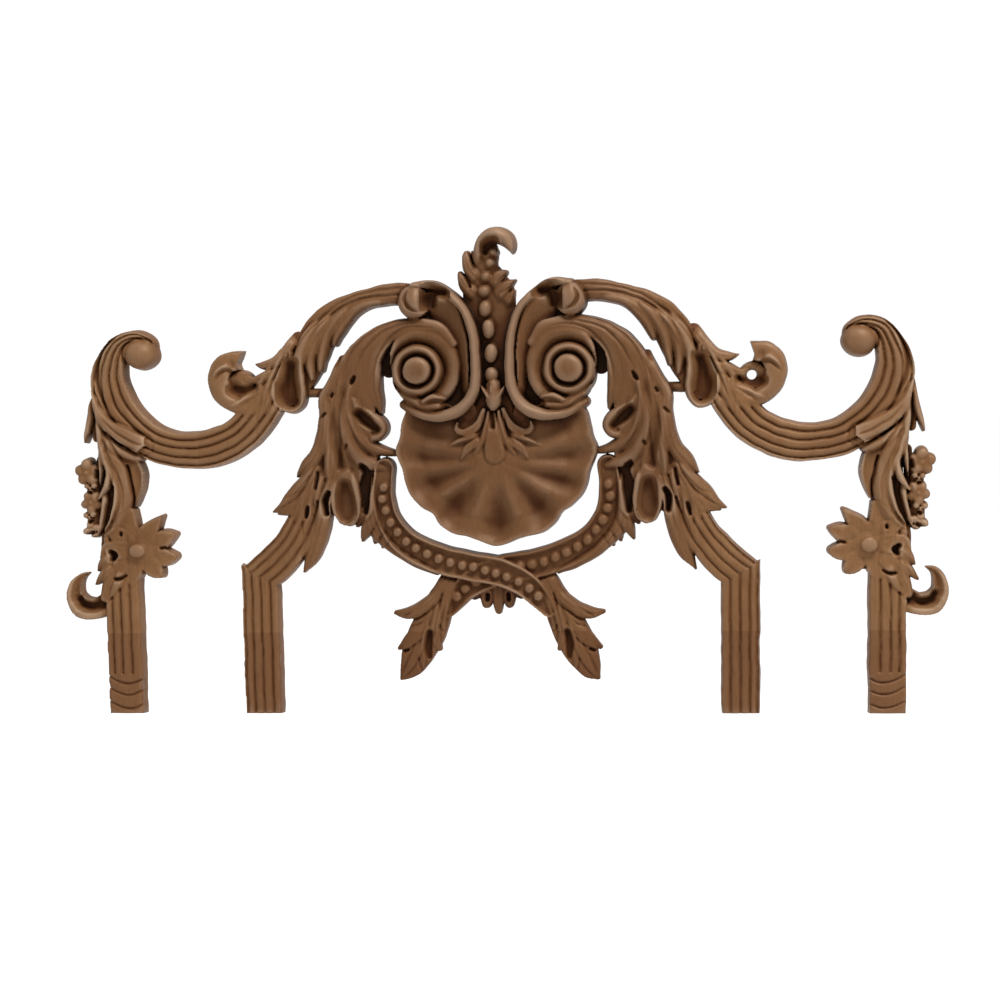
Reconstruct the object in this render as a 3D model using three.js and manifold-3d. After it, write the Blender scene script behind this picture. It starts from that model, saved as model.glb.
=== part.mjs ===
// A carved wood fleuron: a pierced applique with a shell between two spirals, a crest, crossed bead
// straps, acanthus leaves, two C-shaped arms and four reeded legs. It is one piece with a flat back.
// X runs to the right, Z up, and the carving faces -Y. The flat back lies on y = 0.
import * as THREE from "three";
import { mergeVertices } from "three/addons/utils/BufferGeometryUtils.js";
import Module from "manifold-3d";

// Driving dimensions, in millimetres.
const FLEURON_WIDTH = 910;
const FOOT_DROP = 247;
const INNER_LEG_WIDTH = 39;
const OUTER_LEG_WIDTH = 39;
const LEG_LEAN = 1.5;
const LEG_THICKNESS = 19;
const ARM_THICKNESS = 23;
const ARC_THICKNESS = 23;
const LEAF_THICKNESS = 27;
const SPIRAL_THICKNESS = 36;
const SCROLL_THICKNESS = 33;
const SHELL_THICKNESS = 21;
const SHELL_HOLLOW = 11;
const SHELL_FLUTE = 3.5;
const GROUND_THICKNESS = 9;
const STRAP_WIDTH = 31;
const STRAP_THICKNESS = 15;
const STRAP_OVERLAP_STEP = 3.5;
const CREST_THICKNESS = 25;
const FLOWER_THICKNESS = 23;
const HOOK_THICKNESS = 19;
const GROOVE_WIDTH = 2.6;
const GROOVE_DEPTH = 3.4;
const BEAD_DIAMETER = 9.4;
const BEAD_SPACING = 13.9;
const PIERCED_HOLE_DIAMETER = 10;
const FACET_TOLERANCE = 0.9;

// The plan is drawn on a pattern that is 910 squares wide. Places in the plan are given in its squares,
// with x = 0 on the middle line and z = 0 level with the middle of the height.
const pattern = { squaresAcross: 910 };
const SQUARE = FLEURON_WIDTH / pattern.squaresAcross;
const FOOT = -FOOT_DROP / SQUARE;
const LEAN = LEG_LEAN / SQUARE;

// Every form starts this far behind the back and is planed off level with it at the end.
const PLANING_ALLOWANCE = 3;

const wasm = await Module();
wasm.setup();

// Cross sections. Each point is [place across from -1 to 1, share of the height, share of a groove].
const CROWNED = [[-1, 0.5, 0], [-0.45, 1, 0], [0.45, 1, 0], [1, 0.5, 0]];
const FOLDED = [[-1, 0.42, 0], [-0.5, 0.85, 0], [0, 1, 0], [0.5, 0.85, 0], [1, 0.42, 0]];
const SCOOPED = [[-1, 0.92, 0], [-0.78, 1, 0], [0, 0.66, 0], [0.78, 1, 0], [1, 0.92, 0]];
const CHANNEL = [[-1, 0.85, 0], [-0.82, 1, 0], [-0.6, 0.68, 0], [0.6, 0.68, 0], [0.82, 1, 0], [1, 0.85, 0]];

// A reeded section: an arched face with a narrow groove at each of the given places across.
function reeded(grooves, halfWidth) {
  const half = GROOVE_WIDTH / 2 / halfWidth;
  const arch = (across) => 1 - 0.16 * across * across;
  const section = [[-1, 0.74, 0]];
  for (const groove of grooves) {
    section.push([groove - half, arch(groove), 0]);
    section.push([groove, arch(groove), 1]);
    section.push([groove + half, arch(groove), 0]);
  }
  section.push([1, 0.74, 0]);
  return section;
}

// A cubic that passes from b to c, with its slopes taken from a and d.
function passing(a, b, c, d, t) {
  const slopeB = (c - a) / 2;
  const slopeC = (d - b) / 2;
  const rise = c - b;
  return b + t * (slopeB + t * (3 * rise - 2 * slopeB - slopeC + t * (slopeB + slopeC - 2 * rise)));
}

// The direction across a path at one of its points, lengthened at a corner so that the width is kept.
function across(path, index) {
  const here = new THREE.Vector2(path[index][0], path[index][1]);
  const before = index > 0 ? new THREE.Vector2(path[index - 1][0], path[index - 1][1]) : null;
  const after = index < path.length - 1 ? new THREE.Vector2(path[index + 1][0], path[index + 1][1]) : null;
  const arriving = before ? here.clone().sub(before).normalize() : after.clone().sub(here).normalize();
  const leaving = after ? after.clone().sub(here).normalize() : arriving.clone();
  const middle = arriving.clone().add(leaving).normalize();
  const widen = 1 / Math.max(middle.dot(leaving), 0.5);
  return new THREE.Vector2(-middle.y, middle.x).multiplyScalar(widen);
}

// A closed solid between a front grid and a back grid of points. A ring grid closes on itself.
function solidBetween(front, back, ring = false) {
  const rows = front.length;
  const columns = front[0].length;
  const positions = [];
  for (const point of [...front.flat(), ...back.flat()]) positions.push(point.x, point.y, point.z);
  const frontAt = (row, column) => row * columns + (column % columns);
  const backAt = (row, column) => rows * columns + frontAt(row, column);
  const spans = ring ? columns : columns - 1;
  const triangles = [];
  const quad = (a, b, c, d) => triangles.push(a, b, c, a, c, d);
  for (let row = 0; row < rows - 1; row += 1) {
    for (let column = 0; column < spans; column += 1) {
      quad(frontAt(row, column), frontAt(row + 1, column), frontAt(row + 1, column + 1), frontAt(row, column + 1));
      quad(backAt(row, column), backAt(row, column + 1), backAt(row + 1, column + 1), backAt(row + 1, column));
    }
  }
  const wall = (a, b) => {
    const [rowA, columnA] = a;
    const [rowB, columnB] = b;
    quad(frontAt(rowB, columnB), frontAt(rowA, columnA), backAt(rowA, columnA), backAt(rowB, columnB));
  };
  for (let column = 0; column < spans; column += 1) {
    wall([rows - 1, column], [rows - 1, column + 1]);
    wall([0, column + 1], [0, column]);
  }
  for (let row = 0; row < rows - 1 && !ring; row += 1) {
    wall([row, 0], [row + 1, 0]);
    wall([row + 1, columns - 1], [row, columns - 1]);
  }
  return solidOf(positions, triangles);
}

// A manifold solid from raw points and triangles, with doubled points joined and empty faces left out.
function solidOf(positions, triangles) {
  const geometry = new THREE.BufferGeometry();
  geometry.setAttribute("position", new THREE.Float32BufferAttribute(positions, 3));
  geometry.setIndex(triangles);
  const merged = mergeVertices(geometry, 1e-3);
  const faces = [];
  const index = merged.index.array;
  for (let i = 0; i < index.length; i += 3) {
    const [a, b, c] = [index[i], index[i + 1], index[i + 2]];
    if (a !== b && b !== c && c !== a) faces.push(a, b, c);
  }
  const mesh = new wasm.Mesh({
    numProp: 3,
    vertProperties: new Float32Array(merged.attributes.position.array),
    triVerts: new Uint32Array(faces),
  });
  return new wasm.Manifold(mesh);
}

// A carved band along a path of [x, z, half width, height, groove share], in pattern squares for the
// plan and millimetres for the height.
function band(path, section) {
  const front = [];
  const back = [];
  path.forEach(([x, z, halfWidth, height, grooveShare = 1], index) => {
    const side = across(path, index);
    const frontRow = [];
    const backRow = [];
    for (const [place, rise, cut] of section) {
      const planX = (x + side.x * halfWidth * place) * SQUARE;
      const planZ = (z + side.y * halfWidth * place) * SQUARE;
      const raised = height * rise - GROOVE_DEPTH * cut * grooveShare;
      frontRow.push(new THREE.Vector3(planX, -raised, planZ));
      backRow.push(new THREE.Vector3(planX, PLANING_ALLOWANCE, planZ));
    }
    front.push(frontRow);
    back.push(backRow);
  });
  return solidBetween(front, back);
}

// A leaf blade: a band with a folded section, or with another one.
function blade(stations, section = FOLDED) {
  return band(stations, section);
}

// A mound with a turned profile of [share of the reach, height]. The reach may change with the angle.
function turned(x, z, profile, sides, placeAt) {
  const front = [];
  const back = [];
  for (const [share, height] of profile) {
    const frontRow = [];
    const backRow = [];
    for (let side = 0; side < sides; side += 1) {
      const [localX, localZ] = placeAt(share, (2 * Math.PI * side) / sides);
      frontRow.push(new THREE.Vector3((x + localX) * SQUARE, -height, (z + localZ) * SQUARE));
      backRow.push(new THREE.Vector3((x + localX) * SQUARE, PLANING_ALLOWANCE, (z + localZ) * SQUARE));
    }
    front.push(frontRow);
    back.push(backRow);
  }
  return solidBetween(front, back, true);
}

// A round or oval mound.
function mound(x, z, radiusX, radiusZ, profile, sides = 12) {
  const placeAt = (share, angle) => [Math.cos(angle) * radiusX * share, Math.sin(angle) * radiusZ * share];
  return turned(x, z, profile, sides, placeAt);
}

// A domed profile that rises from its edge height to its crown.
function dome(edge, crown, steps = 2) {
  const profile = [];
  for (let step = 0; step <= steps; step += 1) {
    const angle = (step / steps) * (Math.PI / 2);
    profile.push([Math.sin(angle), edge + (crown - edge) * Math.cos(angle)]);
  }
  return profile;
}

// A pit cutter: an upside-down dome that opens to the front and reaches down to a depth above the back.
function pit(x, z, radiusX, radiusZ, floor, top, turn = 0, sides = 6) {
  const front = [];
  const back = [];
  for (const [share, drop] of [[0, 0], [0.7, 0], [1, 1]]) {
    const frontRow = [];
    const backRow = [];
    for (let side = 0; side < sides; side += 1) {
      const angle = (2 * Math.PI * side) / sides;
      const localX = Math.cos(angle) * radiusX * share;
      const localZ = Math.sin(angle) * radiusZ * share;
      const planX = (x + localX * Math.cos(turn) - localZ * Math.sin(turn)) * SQUARE;
      const planZ = (z + localX * Math.sin(turn) + localZ * Math.cos(turn)) * SQUARE;
      frontRow.push(new THREE.Vector3(planX, -top, planZ));
      backRow.push(new THREE.Vector3(planX, -(floor + (top - floor) * drop), planZ));
    }
    front.push(frontRow);
    back.push(backRow);
  }
  return solidBetween(front, back, true);
}

// A wedge-shaped groove cutter along a path of [x, z, half width, bottom height].
function groove(path, top) {
  const front = [];
  const back = [];
  path.forEach(([x, z, halfWidth, bottom], index) => {
    const side = across(path, index);
    const at = (place, height) =>
      new THREE.Vector3(
        (x + side.x * halfWidth * place) * SQUARE,
        -height,
        (z + side.y * halfWidth * place) * SQUARE,
      );
    front.push([at(-1, top), at(0, top), at(1, top)]);
    back.push([at(-1, top), at(0, bottom), at(1, top)]);
  });
  return solidBetween(front, back);
}

// Joins solids into one.
function joined(solids) {
  return solids.reduce((whole, solid) => whole.add(solid));
}

// A copy of a solid without needless facets. A point slides onto a neighbour where no face moves by more
// than the tolerance. Points on the flat back and on the feet slide only along the back and the feet.
function trimmed(solid, tolerance) {
  const mesh = solid.getMesh();
  const points = [];
  for (let i = 0; i < mesh.vertProperties.length; i += mesh.numProp) {
    points.push(new THREE.Vector3(...mesh.vertProperties.subarray(i, i + 3)));
  }
  const faces = [];
  const facesOf = points.map(() => new Set());
  for (let i = 0; i < mesh.triVerts.length; i += 3) {
    const face = [mesh.triVerts[i], mesh.triVerts[i + 1], mesh.triVerts[i + 2]];
    face.forEach((point) => facesOf[point].add(faces.length));
    faces.push(face);
  }
  const neighbours = (point) => {
    const found = new Set([...facesOf[point]].flatMap((face) => faces[face]));
    found.delete(point);
    return found;
  };
  const normalOf = (a, b, c) => b.clone().sub(a).cross(c.clone().sub(a));
  const footLevel = FOOT * SQUARE;
  const keepsItsPlane = (from, to) => {
    const leavesBack = Math.abs(from.y) < 1e-4 && Math.abs(to.y) > 1e-4;
    const leavesFoot = Math.abs(from.z - footLevel) < 1e-3 && Math.abs(to.z - footLevel) > 1e-3;
    return !leavesBack && !leavesFoot;
  };
  const canSlide = (from, to, limit) => {
    if (!keepsItsPlane(points[from], points[to])) return false;
    const around = neighbours(to);
    if ([...neighbours(from)].filter((point) => around.has(point)).length !== 2) return false;
    for (const face of facesOf[from]) {
      if (faces[face].includes(to)) continue;
      const before = faces[face].map((point) => points[point]);
      const after = faces[face].map((point) => points[point === from ? to : point]);
      const oldNormal = normalOf(...before);
      const newNormal = normalOf(...after);
      const newArea = newNormal.length();
      if (newArea < 1e-3) return false;
      const travel = Math.abs(newNormal.dot(points[from].clone().sub(points[to]))) / newArea;
      if (travel > limit) return false;
      const oldArea = oldNormal.length();
      if (oldArea > 0.05 && newNormal.dot(oldNormal) < 0.3 * newArea * oldArea) return false;
    }
    return true;
  };
  const slide = (from, to) => {
    for (const face of [...facesOf[from]]) {
      facesOf[from].delete(face);
      if (faces[face].includes(to)) {
        faces[face].forEach((point) => facesOf[point].delete(face));
        faces[face] = null;
      } else {
        faces[face] = faces[face].map((point) => (point === from ? to : point));
        facesOf[to].add(face);
      }
    }
  };
  const distance = (a, b) => points[a].distanceToSquared(points[b]);
  for (const limit of [0.1, 0.3, 0.6, 1].map((share) => share * tolerance)) {
    let moved = true;
    while (moved) {
      moved = false;
      for (let point = 0; point < points.length; point += 1) {
        if (facesOf[point].size === 0) continue;
        const near = [...neighbours(point)].sort((a, b) => distance(a, point) - distance(b, point));
        const goal = near.find((other) => canSlide(point, other, limit));
        if (goal === undefined) continue;
        slide(point, goal);
        moved = true;
      }
    }
  }
  const kept = faces.filter((face) => face);
  return solidOf(points.flatMap((point) => point.toArray()), kept.flat());
}

// The mirror image of a solid across the middle line.
function mirrored(solid) {
  const mesh = solid.getMesh();
  const positions = [];
  for (let i = 0; i < mesh.vertProperties.length; i += mesh.numProp) {
    positions.push(-mesh.vertProperties[i], mesh.vertProperties[i + 1], mesh.vertProperties[i + 2]);
  }
  const triangles = [];
  for (let i = 0; i < mesh.triVerts.length; i += 3) {
    triangles.push(mesh.triVerts[i], mesh.triVerts[i + 2], mesh.triVerts[i + 1]);
  }
  return solidOf(positions, triangles);
}

// The reeded sweep from the great leaf to the shoulder, and the straight inner leg below it.
function innerLeg() {
  const half = INNER_LEG_WIDTH / 2 / SQUARE;
  const h = LEG_THICKNESS;
  const sweep = [[188, 0, 13, h], [197, -34, 17, h], [211, -64, 18.5, h], [230, -87, half, h]];
  const shoulder = [247.5, -102, half, h];
  const aboveFoot = [247.5 - LEAN, FOOT + 3, half, h];
  const foot = [247.5 - LEAN, FOOT, half * 0.97, h * 0.97];
  return band([...sweep, shoulder, aboveFoot, foot], reeded([-0.54, -0.03, 0.44, 0.84], half));
}

// The straight outer leg: reeds above and three slanting wrap lines round its plain foot.
function outerLeg() {
  const half = OUTER_LEG_WIDTH / 2 / SQUARE;
  const h = LEG_THICKNESS;
  const x = 394;
  const footX = x - LEAN;
  const path = [
    [x, -70, half, h], [footX + 1, FOOT + 46, half, h], [footX + 1, FOOT + 43, half, h, 0],
    [footX, FOOT + 3, half, h, 0], [footX, FOOT, half * 0.97, h * 0.97, 0],
  ];
  const leg = band(path, reeded([-0.38, 0.13, 0.59], half));
  const wraps = [36, 24, 11].map((rise) =>
    groove(
      [
        [footX - half - 2, FOOT + rise + 2, 1.4, h - GROOVE_DEPTH - 2],
        [footX, FOOT + rise - 3, 1.4, h - GROOVE_DEPTH],
        [footX + half + 2, FOOT + rise + 4, 1.4, h - GROOVE_DEPTH - 2],
      ],
      h + 1,
    ),
  );
  return leg.subtract(joined(wraps));
}

// The C-shaped arm with five reeds, and the round end that it curls into.
function arm() {
  const h = ARM_THICKNESS;
  const path = [
    [214, 126, 9, h], [226, 97, 17, h], [242, 69, 20.5, h], [264, 44.5, 20, h], [292, 31.5, 20.5, h],
    [320, 28, 19.5, h], [348, 33.5, 19.5, h], [374, 49, 20.5, h], [396.5, 72, 23.5, h], [402.5, 102, 19.5, h],
    [399, 125, 14.5, h], [388, 142.5, 8.5, h], [371, 147.5, 6.5, h - 1], [357, 140, 5, h - 2],
    [354.5, 129, 4, h - 3],
  ];
  const ball = mound(369, 129, 16.5, 16.5, dome(h * 0.4, h + 5, 3), 12);
  return band(path, reeded([-0.77, -0.35, 0.14, 0.55], 19.5)).add(ball);
}

// The arc over the great leaf, which parts into lobes that hang down.
function upperArc() {
  const h = ARC_THICKNESS;
  const body = [
    [84, 184, 11.5, h], [105, 184.5, 10.8, h], [127, 181, 10.5, h], [149, 174, 12.3, h], [168, 162, 16, h],
    [181.5, 143.5, 19.5, h], [193, 118.5, 19.5, h - 2], [203, 92, 13, h - 6],
  ];
  const lobes = [
    [[148, 167, 5, h - 1], [157, 153, 6.5, h], [163, 140, 5, h - 2], [167, 129, 1.5, h - 8]],
    [[160, 162, 6, h], [171, 140, 7, h + 1], [177, 116, 6, h - 1], [184.5, 100.5, 2, h - 9]],
    [[176, 156, 7, h + 1], [188, 130, 8, h + 3], [192, 100, 8, h + 1], [194, 80, 5, h - 3], [204, 67, 3, h - 7]],
    [[198, 138, 6, h + 2], [205, 112, 6.5, h + 2], [201, 84, 4, h - 1], [205, 71, 3, h - 6]],
    [[208, 130, 5, h], [216, 106, 7, h + 2], [228, 77, 2, h - 5]],
    [[216, 124, 5, h + 1], [229, 96, 6.5, h + 2], [242, 64, 1.5, h - 4]],
  ];
  const cup = blade([[194, 79, 6, h - 6], [199, 71, 6, h - 7], [208, 69.5, 5.5, h - 8], [218, 74, 5, h - 7]], CROWNED);
  const hollow = pit(208, 80, 5, 8, 7, h + 8, 0.1);
  const bridge = blade([[168, 86, 5, 12], [196, 86, 5, 12]], CROWNED);
  const floor = mound(216, 89, 13, 18, [[0, 8], [1, 8]], 8);
  const parts = [band(body, reeded([-0.2, 0.4], 10.5)), ...lobes.map((lobe) => blade(lobe)), cup, bridge, floor];
  return joined(parts).subtract(hollow);
}

// The leaf that leaves the arm and curls round a pierced hole.
function curledLeaf(pierced) {
  const h = ARM_THICKNESS;
  const curl = blade(
    [
      [246, 72, 9, h], [264, 73.5, 9.5, h + 1], [279, 84, 11, h + 2], [285, 102, 11.5, h + 2],
      [277, 119, 10, h], [266, 127, 6, h - 4], [260.5, 131, 1.2, h - 9],
    ],
    CROWNED,
  );
  const floor = mound(263, 96, 15, 15, [[0, 9], [1, 9]], 8);
  const web = blade([[226, 100, 9, h - 1], [242, 101, 5.5, h - 3], [252, 98, 3.8, h - 5], [262, 102, 4.5, h - 5]]);
  const lower = blade([[226, 88, 9, h], [243, 83, 7, h - 1], [258, 76, 6, h - 2]]);
  const ear = blade([[259, 116, 4, h - 3], [271, 111, 5.5, h + 4], [284, 103, 5, h + 2]]);
  const thorn = blade([[203, 143, 7, h - 2], [221.5, 121.5, 6.5, h - 1], [237, 115.5, 5.2, h - 4], [247.5, 117, 1, h - 9]]);
  const leaf = joined([curl, floor, web, lower, ear, thorn]);
  const radius = PIERCED_HOLE_DIAMETER / 2 / SQUARE;
  return pierced ? leaf.subtract(pit(260.5, 97, radius, radius, -60, h + 8, 0, 8)) : leaf;
}

// The great acanthus leaf between the spiral and the inner leg.
function greatLeaf() {
  const h = LEAF_THICKNESS;
  const body = [
    [84, 150, 10, h], [108, 146, 12.5, h], [128, 130.5, 18, h], [142, 103.5, 24, h - 1], [148.5, 70, 29, h - 4],
    [156, 35, 30, h - 6], [170, 0, 30, h - 9], [180, -22, 22, h - 11],
  ];
  const folds = [
    [
      [158, 122, 5, h], [169, 95, 6, h + 1], [177, 80, 7, h + 1], [175.5, 62, 7, h + 1], [181, 24, 8, h],
      [193, 9, 7.5, h - 4], [209, 0, 1, h - 12],
    ],
    [[145, 118, 6, h + 1], [158, 84, 7, h + 2], [162, 45, 7, h], [168, 12, 7, h - 1]],
    [[128, 124, 6, h + 1], [144, 90, 7, h + 2], [149, 50, 7, h], [153, 8, 9, h - 2]],
    [[179, 18, 6, h - 1], [193, 1, 9, h - 1], [207, -16, 11, h - 4], [222, -31.5, 8, h - 9], [235, -36, 1.5, h - 15]],
    [[172, 14, 6, h - 1], [186, -10, 7, h], [197, -31, 7, h - 3], [208, -50, 1.5, h - 9]],
    [[170, 6, 6, h - 2], [178, -26, 8, h - 2], [184, -56, 10, h - 6], [194, -80, 8.5, h - 10], [203, -98, 1.2, h - 15]],
    [[181, -20, 5, h - 2], [191, -46, 6.5, h - 3], [202, -76, 1.5, h - 9]],
    [[146, 14, 6, h - 2], [140, -12, 4, h - 4], [137, -37, 2, h - 10]],
    [[164, 10, 5, h - 1], [169, -14, 5, h - 3], [170, -42, 3, h - 8]],
  ];
  const lip = blade([[154, 10, 10, h - 3], [153, -24, 13.5, h - 4], [153, -44, 14.5, h - 2], [154, -53, 9, h - 8]], SCOOPED);
  const eyeLobes = [
    [[122, 118, 6, h - 1], [127, 92, 8, h - 1], [123, 74, 6.5, h - 4], [117, 64, 3, h - 8]],
    [[142, 84, 7, h + 1], [127, 68, 7, h], [114, 54, 5.5, h - 3], [117, 43, 4, h - 6], [130, 42, 3, h - 6]],
    [[150, 56, 8, h], [138, 37, 9, h - 2], [123, 28, 8, h - 8], [102, 24, 3, h - 16]],
    [[152, 38, 8, h - 1], [141, 20, 9, h - 3], [124, 12, 7, h - 9], [103, 5, 2, h - 15]],
  ];
  const leaf = joined([
    band(body, reeded([-0.35, 0.35], 16)),
    ...folds.map((fold) => blade(fold)),
    ...eyeLobes.map((lobe) => blade(lobe)),
    lip,
    mound(134, -6, 8, 30, [[0, 6], [1, 6]], 8),
    mound(110, 113, 9, 14, [[0, 8], [1, 8]], 6),
  ]);
  const pits = [
    pit(131, 57, 12.5, 5, 9, h + 10, 0.75),
    pit(143, 97, 2.2, 4, h - 8, h + 10, 0.4, 4),
    pit(173.5, -27, 2.2, 10, 6, h + 10, 0.12, 4),
  ];
  return leaf.subtract(joined(pits));
}

// The spiral: an eye, a ridge round it, and an outer ring whose reach changes as it unwinds.
function spiral() {
  const h = SPIRAL_THICKNESS;
  const reaches = [29.5, 38, 47, 46, 41.5, 40, 36, 33];
  const outerReach = (angle) => {
    const place = (angle / (2 * Math.PI)) * reaches.length;
    const span = Math.floor(place);
    const value = (k) => reaches[(span + k + reaches.length) % reaches.length];
    return passing(value(-1), value(0), value(1), value(2), place - span);
  };
  const eyeRadius = 15.5;
  const ridgeRadius = 29;
  const profile = [
    [0, h], [0.75, h - 1.5], [1, h - 8], [1.15, h - 17], [1.45, h - 8], [1.72, h - 6],
    [2, h - 18], [2.35, h - 9], [2.8, h - 11], [3, h - 20],
  ];
  const placeAt = (share, angle) => {
    const inner = share <= 1 ? share * eyeRadius : eyeRadius + (share - 1) * (ridgeRadius - eyeRadius);
    const outer = ridgeRadius + (share - 2) * (outerReach(angle) - ridgeRadius);
    const reach = share > 2 ? outer : inner;
    return [Math.cos(angle) * reach, Math.sin(angle) * reach];
  };
  return turned(75, 107, profile, 18, placeAt);
}

// The C-shaped scroll rim, its inner rib and the knob that it ends in.
function scroll() {
  const h = SCROLL_THICKNESS;
  const rim = blade(
    [
      [78, 192, 5, h - 3], [60, 193.5, 4.5, h - 1], [41, 182.5, 5, h], [27, 167, 5.5, h], [18, 143, 5.5, h],
      [15, 112, 5, h], [17, 86, 5, h], [28, 68, 5.5, h], [57, 60, 3, h - 5],
    ],
    CROWNED,
  );
  const rib = blade([[32, 84, 2.5, 20], [26.5, 110, 3, 22], [29, 146, 3.5, 22], [41, 170, 4, 22], [54, 181, 2, 20]]);
  const level = [[0, GROUND_THICKNESS], [1, GROUND_THICKNESS]];
  const floor = mound(52, 124, 37, 64, level, 12).add(mound(62, 178, 16, 13, level, 8));
  const knob = mound(79, 177, 17.3, 19, dome(h - 14, h + 2, 3), 12);
  const turn = groove([[84, 188, 1.2, h - 6], [86.5, 177, 2.2, h - 6], [74, 167, 1.2, h - 6]], h + 3);
  const husk = [
    [[42, 76, 4, h - 8], [64, 73, 7, h - 6], [95, 77, 4, h - 12]],
    [[50, 65, 4, h - 10], [70, 64, 7, h - 10], [95, 68, 5, h - 15]],
  ];
  return joined([rim, rib, floor, knob.subtract(turn), ...husk.map((leaf) => blade(leaf))]);
}

// The strap that runs down from the great leaf, crosses under or over the other, and ends in a leaf.
function strap(rise) {
  const h = STRAP_THICKNESS + rise;
  const half = STRAP_WIDTH / 2 / SQUARE;
  const path = [
    [114.5, 8, half * 0.7, h], [116.5, -20, half * 0.76, h], [111.5, -46, half * 0.8, h], [93, -70.5, half * 0.95, h],
    [61, -87, half, h], [24, -96, half, h], [-5, -101.5, half, h], [-31, -115, half * 0.9, h],
    [-52, -138, half * 0.6, h - 2],
  ];
  const beadRadius = BEAD_DIAMETER / 2 / SQUARE;
  const spacing = BEAD_SPACING / SQUARE;
  const profile = [[0, h + 1], [0.7, h], [1.1, h * 0.6]];
  const beads = [];
  let walked = spacing * 0.9;
  let passed = 0;
  for (let i = 1; i < path.length; i += 1) {
    const [x, z] = path[i - 1];
    const length = Math.hypot(path[i][0] - x, path[i][1] - z);
    while (walked < passed + length) {
      const t = (walked - passed) / length;
      const beadX = x + (path[i][0] - x) * t;
      const beadZ = z + (path[i][1] - z) * t;
      const hidden = rise === 0 && beadX < 22;
      if (!hidden && beadX > -46) beads.push(mound(beadX, beadZ, beadRadius, beadRadius, profile, 6));
      walked += spacing;
    }
    passed += length;
  }
  return joined([band(path, CHANNEL), ...beads]);
}

// The leaf that wraps the outer edge of the strap.
function strapLeaf() {
  const h = STRAP_THICKNESS + 2;
  const leaves = [
    [[128, -3, 4, h + 2], [131, -30, 8, h + 3], [127, -54, 10, h], [108, -75, 7, h - 1], [86, -90, 5, h - 3], [63, -101, 3, h - 5]],
    [[129, -30, 7, h + 1], [138, -42, 7, h - 2], [145, -51, 2.5, h - 7]],
    [[127, -42, 8, h + 2], [135, -56, 7, h - 1], [139.5, -67, 2.5, h - 7]],
    [[116, -52, 8, h + 1], [124, -62, 6, h - 3], [127, -69, 2.5, h - 8]],
  ];
  return joined(leaves.map((leaf) => blade(leaf)));
}

// The leaf that each strap ends in, below the crossing.
function crossLeaf() {
  const h = STRAP_THICKNESS + 2;
  const leaves = [
    [
      [44, -98, 10, h], [55, -120, 12.5, h + 1], [68, -148, 18, h], [81, -176, 18.5, h - 1],
      [91.5, -197, 12.5, h - 4], [102.5, -211, 2, h - 8],
    ],
    [[58, -120, 8, h], [77, -138, 9, h], [93, -143, 6.5, h - 4], [107.5, -142.5, 2.5, h - 8]],
    [[76, -154, 9, h], [92, -171, 8, h - 3], [104, -179, 2.5, h - 8]],
    [[52, -122, 7, h - 1], [57, -146, 6, h - 2], [57, -160, 2.5, h - 6]],
    [[63, -148, 8, h - 1], [67, -169, 7, h - 3], [62, -182, 3, h - 7]],
    [[74, -172, 9, h - 1], [80, -192, 7, h - 4], [79, -203, 2, h - 8]],
  ];
  return joined(leaves.map((leaf) => blade(leaf)));
}

// The leaf that hangs from the elbow of the arm over the outer leg.
function hangingLeaf() {
  const h = LEAF_THICKNESS - 1;
  const leaves = [
    [[380, 54, 14, h - 6], [390, 20, 22, h - 6], [393, -20, 20, h - 6], [398, -48, 13, h - 8]],
    [[368, 40, 5, h - 2], [377, 14, 8, h], [376.5, -14, 6.5, h - 1], [378.5, -36, 2.5, h - 7]],
    [[386, 54, 6, h], [388, 16, 8, h + 2], [388, -24, 7, h + 1], [393, -56, 2, h - 6]],
    [[407, 66, 8, h - 3], [402, 18, 9, h + 2], [402, -22, 8, h + 2], [413, -58, 2, h - 7]],
    [[419, 84, 4, h - 4], [424.5, 60, 5, h - 6], [430, 38, 2, h - 11]],
    [[410, 80, 6, h - 6], [416, 56, 6, h - 6], [419, 40, 4, h - 8]],
    [[412, 30, 5, h - 6], [409, -20, 8, h - 9], [408, -70, 10, h - 9]],
  ];
  return joined(leaves.map((leaf) => blade(leaf)));
}

// The open flower beside the head of the outer leg.
function flower() {
  const h = FLOWER_THICKNESS;
  const x = 372;
  const z = -76;
  const outline = [
    [15, 30], [50, 37], [85, 34], [101, 32], [121, 44], [131, 35], [155, 42], [168, 30], [187, 39], [202, 31],
    [222, 31], [239, 35], [257, 26], [286, 40], [308, 32], [340, 32],
  ];
  const front = [];
  const back = [];
  for (const [share, height] of [[0, h - 9], [0.35, h - 7], [0.75, h - 2], [1, h - 9]]) {
    const rays = outline.map(([angle, reach]) => [
      (x + Math.cos((angle * Math.PI) / 180) * reach * share) * SQUARE,
      (z + Math.sin((angle * Math.PI) / 180) * reach * share) * SQUARE,
    ]);
    front.push(rays.map(([planX, planZ]) => new THREE.Vector3(planX, -height, planZ)));
    back.push(rays.map(([planX, planZ]) => new THREE.Vector3(planX, PLANING_ALLOWANCE, planZ)));
  }
  const heart = mound(x, z, 12, 10, dome(h - 12, h + 4, 3), 10);
  return solidBetween(front, back, true).add(heart);
}

// The small flowers and berries that run down the outer side of the hanging leaf.
function berries() {
  const h = FLOWER_THICKNESS;
  const balls = [
    [422, 11.5, 8.5], [433.5, 11.5, 8.3], [436, -1, 6.5], [426, -5, 8], [429, -16, 7], [431, -28, 7],
    [425.5, -40, 8], [426.5, -54, 8.2],
  ];
  const solids = balls.map(([x, z, radius]) => mound(x, z, radius, radius, dome(h - 14, h), 6));
  solids.push(blade([[418, 16, 6, h - 8], [422, -8, 9, h - 8], [420, -40, 8, h - 8], [412, -84, 8, h - 8]], CROWNED));
  return joined(solids);
}

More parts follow.
